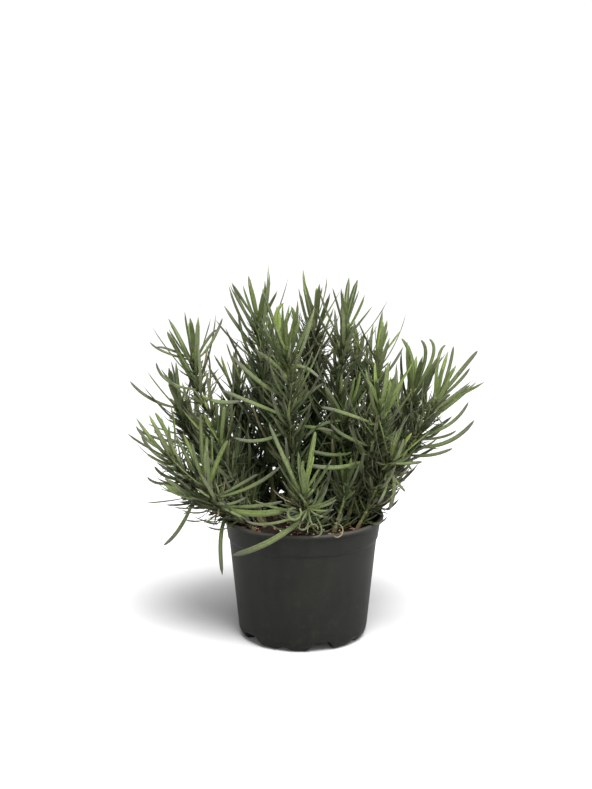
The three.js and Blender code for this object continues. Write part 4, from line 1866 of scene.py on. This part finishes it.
    def blade_along(self, t: GeometryTree, line: object) -> GeometryTree:
        """Finish a tree with a blade along a line.

        Args:
            t: The tree, with a width, an age, a tint and a finish among its inputs.
            line: The line.

        Returns:
            The tree.
        """
        g = t.given
        tangent = t.made("GeometryNodeInputTangent")
        broad = t.vector("NORMALIZE", t.vector("CROSS_PRODUCT", tangent, self.stray_faces))
        line = t.made("GeometryNodeSetCurveNormal", {"Curve": line, "Normal": broad}, mode="FREE")
        run = t.factor()
        line = t.store(line, "run", run)
        outline = t.shaped(
            run,
            (
                (0.0, 0.5), (0.12, 0.66), (0.35, 0.92), (0.6, 1.0), (0.82, 0.93), (0.94, 0.66),
                (1.0, 0.16),
            ),
        )
        section = t.made(
            "GeometryNodeCurvePrimitiveCircle", {"Resolution": self.stray_corners, "Radius": 1.0},
            mode="RADIUS",
        )
        spot = t.parts(t.here())
        height = self.section_height(t, 1.0, spot[0], spot[1])
        section = t.store(section, "side", spot[0])
        section = t.store(section, "face", spot[1])
        section = t.moved(section, Position=t.xyz(spot[0], t.times(height, -1.0)))
        blade = t.made(
            "GeometryNodeCurveToMesh",
            {
                "Curve": line, "Profile Curve": section, "Fill Caps": True,
                "Scale": t.times(g["Width"], 0.5, outline),
            },
        )
        blade = t.store(blade, "age", g["Age"])
        blade = t.store(blade, "felt", 1.0)
        blade = t.store(blade, "tint", g["Tint"])
        t.finished(t.smoothed(t.made("GeometryNodeFlipFaces", {0: blade})))
        return t

    def stem_points(self, shoot: Shoot) -> tuple[Vector, Vector, Vector, Vector]:
        """The stem's line, by the same rule as the solid's.

        Args:
            shoot: The shoot.

        Returns:
            Its start, the two points that pull it, and its end.
        """
        level = ground_level(math.hypot(*shoot.root) * MM) - 3 * MM
        start = Vector((shoot.root[0] * MM, shoot.root[1] * MM, level))
        end = Vector(shoot.tip) * MM
        outwards = Vector((end.x - start.x, end.y - start.y, 0.0))
        reach = outwards.length
        angle = math.radians(shoot.lean)
        heading = outwards.normalized() * math.sin(angle)
        heading.z = math.cos(angle)
        end -= heading * self.tip_drop
        rise = end.z - start.z
        climb = max(0.34 * rise, min(reach * 0.5, 22 * MM))
        after = start + outwards * 0.22 + Vector((0, 0, climb))
        before = end - heading * 0.36 * math.hypot(rise, reach)
        return start, after, before, end

    def extras(self, shoot: Shoot, strays: GeometryTree, curls: GeometryTree) -> list:
        """Make the leaves of a shoot that the rule doesn't grow.

        Args:
            shoot: The shoot.
            strays: The tree that makes a stray leaf.
            curls: The tree that makes a curled leaf.

        Returns:
            Their meshes.
        """
        meshes = []
        for k, leaf in enumerate(STRAY_LEAVES):
            if leaf.shoot != shoot.name:
                continue
            start, via, end = Vector(leaf.start), Vector(leaf.via), Vector(leaf.end)
            line = {
                "Start": start * MM, "Middle": (2 * via - (start + end) / 2) * MM, "End": end * MM,
                "Width": leaf.width * MM, "Age": leaf.age, "Tint": (0.37 * k) % 0.55,
                "Finish": self.finish,
            }
            meshes.append(strays.grow(f"stray_{shoot.name}_{k}", line))
        for k, leaf in enumerate(CURLED_LEAVES):
            if leaf.shoot != shoot.name:
                continue
            line = {
                "Centre": Vector(leaf.centre) * MM,
                "Facing": Vector([math.radians(a) for a in leaf.facing]),
                "Radius": leaf.radius * MM, "Last radius": leaf.last_radius * MM,
                "Turns": leaf.turns, "Height": leaf.height * MM, "Width": leaf.width * MM,
                "Age": leaf.age, "Tint": leaf.tint, "Finish": self.finish,
            }
            meshes.append(curls.grow(f"curl_{shoot.name}_{k}", line))
        return meshes

    def build(self) -> list[bpy.types.Object]:
        """Grow every shoot.

        Returns:
            The shoots' pieces.
        """
        tree, strays, curls = self.shoot_tree(), self.stray_tree(), self.curl_tree()
        shared = {
            "Leaf width": self.leaf_width, "Axil leaves": self.axil_leaves,
            "Stem radius below": self.stem_base, "Stem radius above": self.stem_tip,
            "Ground": ground_level(0) + self.ground_play, "Rim radius": RIM_RADIUS,
            "Rim level": RIM_LEVEL + self.rim_clearance, "Left gap": Vector(self.left_gap) * MM,
            "Left gap radius": self.left_gap_radius, "Right gap": Vector(self.right_gap) * MM,
            "Right gap radius": self.right_gap_radius, "Finish": self.finish,
        }
        pieces = []
        for number, shoot in enumerate(SHOOTS):
            start, after, before, end = self.stem_points(shoot)
            length = (end - start).length * self.stem_slack
            thatch = self.back_thatch if shoot.tip[1] > self.back_starts else 1
            mesh = tree.grow(
                f"lavender_{shoot.name}",
                shared
                | {
                    "Root": start, "Root pull": after, "Tip pull": before, "Tip": end,
                    "Leaf pairs": round(shoot.pairs * self.leafiness),
                    "Leaf length": shoot.leaf * MM, "First bearing": math.radians(shoot.turn),
                    "Leafy share": min(self.most_leafy, self.leafy_length / length),
                    "Spent leaves": self.spent_leaves * thatch,
                    "Seed": self.first_seed + self.seed_step * number,
                },
            )
            mesh = joined_mesh(mesh, self.extras(shoot, strays, curls))
            pieces.append(place_piece(mesh, "foliage", f"shoot_{shoot.name}"))
        return pieces


def joined_mesh(mesh: bpy.types.Mesh, others: list[bpy.types.Mesh]) -> bpy.types.Mesh:
    """Join meshes into one.

    Args:
        mesh: The mesh that keeps its name.
        others: The meshes that join it.

    Returns:
        The joined mesh.
    """
    if not others:
        return mesh
    objects = [bpy.data.objects.new(m.name, m) for m in (mesh, *others)]
    for o in objects:
        bpy.context.scene.collection.objects.link(o)
    with bpy.context.temp_override(
        active_object=objects[0], object=objects[0], selected_objects=objects,
        selected_editable_objects=objects,
    ):
        bpy.ops.object.join()
    bpy.data.objects.remove(objects[0])
    return mesh


# ---------------------------------------------------------------------------------------------
# The studio
# ---------------------------------------------------------------------------------------------


@dataclass
class Studio:
    """A pale floor, soft light and the camera."""

    aim: Triple = (-5.6 * MM, 0.0, 197.5 * MM)
    distance: float = 1.3
    elevation: float = 11.8
    lens: float = 74.74
    sensor: float = 36.0
    floor_tone: Triple = (0.36, 0.36, 0.36)
    floor_reach: float = 1.5
    sweep: float = 0.75
    wall_height: float = 1.3
    glow: float = 0.5
    glow_from: float = 0.03
    glow_full: float = 0.22
    sky: float = 0.055
    lamps_look_at: Triple = (0.0, 0.0, 150 * MM)
    sides: int = 96

    def camera(self) -> None:
        """Set up the camera."""
        data = bpy.data.cameras.new("studio_camera")
        data.lens, data.sensor_width, data.sensor_fit = self.lens, self.sensor, "AUTO"
        data.clip_start, data.clip_end = 0.05, 50.0
        tilt = math.radians(self.elevation)
        away = Vector((0.0, -math.cos(tilt), math.sin(tilt))) * self.distance
        camera = bpy.data.objects.new("studio_camera", data)
        camera.location = Vector(self.aim) + away
        camera.rotation_euler = (math.pi / 2 - tilt, 0.0, 0.0)
        bpy.context.scene.collection.objects.link(camera)
        bpy.context.scene.camera = camera

    def backdrop(self) -> None:
        """Lay the floor, which curves up into a low round wall that glows like a lit sweep."""
        f = Finish("pale_sweep")
        spot = f.parts(f.place)
        away = f.vector("LENGTH", f.xyz(spot[0], spot[1]))
        f.set(
            Base_Color=rgba(self.floor_tone), Roughness=0.9, Specular_IOR_Level=0.2,
            Emission_Color=(1.0, 1.0, 1.0, 1.0),
            Emission_Strength=f.mapped(away, self.glow_from, self.glow_full, 0.0, self.glow),
        )
        rounding = [math.pi / 2 * k / 16 for k in range(17)]
        profile = [(self.floor_reach * k / 6, 0.0) for k in range(1, 6)]
        profile += [
            (self.floor_reach + self.sweep * math.sin(a), self.sweep * (1 - math.cos(a)))
            for a in rounding
        ]
        profile.append((self.floor_reach + self.sweep, self.wall_height))
        points = [
            Vector((radius * math.cos(turn), radius * math.sin(turn), level))
            for radius, level in profile
            for turn in (2 * math.pi * side / self.sides for side in range(self.sides))
        ]
        faces = [tuple(reversed(face)) for face in ring_faces(len(profile), self.sides)]
        faces.append(tuple(range(self.sides)))
        mesh = smooth_mesh("studio_sweep", points, faces, f.material)
        sweep = bpy.data.objects.new("studio_sweep", mesh)
        bpy.context.scene.collection.objects.link(sweep)

    def lamp(self, name: str, place: Triple, size: float, power: float) -> None:
        """Hang one soft lamp that looks at the plant.

        Args:
            name: The lamp's name.
            place: Where it hangs.
            size: How wide it is.
            power: Its power in watts.
        """
        data = bpy.data.lights.new(name, "AREA")
        data.shape, data.size, data.energy = "DISK", size, power
        lamp = bpy.data.objects.new(name, data)
        lamp.location = place
        look = Vector(self.lamps_look_at) - Vector(place)
        lamp.rotation_euler = look.to_track_quat("-Z", "Y").to_euler()
        bpy.context.scene.collection.objects.link(lamp)

    def light(self) -> None:
        """Light the scene."""
        world = bpy.data.worlds.new("studio_world")
        world.use_nodes = True
        back = world.node_tree.nodes["Background"]
        back.inputs["Color"].default_value = (1.0, 1.0, 1.0, 1.0)
        back.inputs["Strength"].default_value = self.sky
        bpy.context.scene.world = world
        self.lamp("key_lamp", (0.3, -0.95, 2.0), 1.5, 172.0)
        self.lamp("fill_lamp", (1.2, -0.9, 1.2), 1.0, 9.0)
        bpy.context.scene.view_settings.view_transform = "Standard"

    def build(self) -> None:
        """Set the whole studio up."""
        self.camera()
        self.backdrop()
        self.light()


def main() -> None:
    """Build the potted lavender and its studio."""
    logging.basicConfig(level=logging.INFO, format="%(name)s: %(message)s")
    Studio().build()
    NurseryPot(MouldedPlastic().make()).build()
    bark = Litter("red_brown_bark", (0.07, 0.027, 0.018), (0.30, 0.155, 0.11))
    grit = Litter("pale_grit_stone", (0.42, 0.36, 0.28), (0.62, 0.58, 0.5))
    CompostBed(Compost().make(), bark.make(), grit.make()).build()
    LavenderGrowth(Foliage().make()).build()


if __name__ == "__main__":
    main()
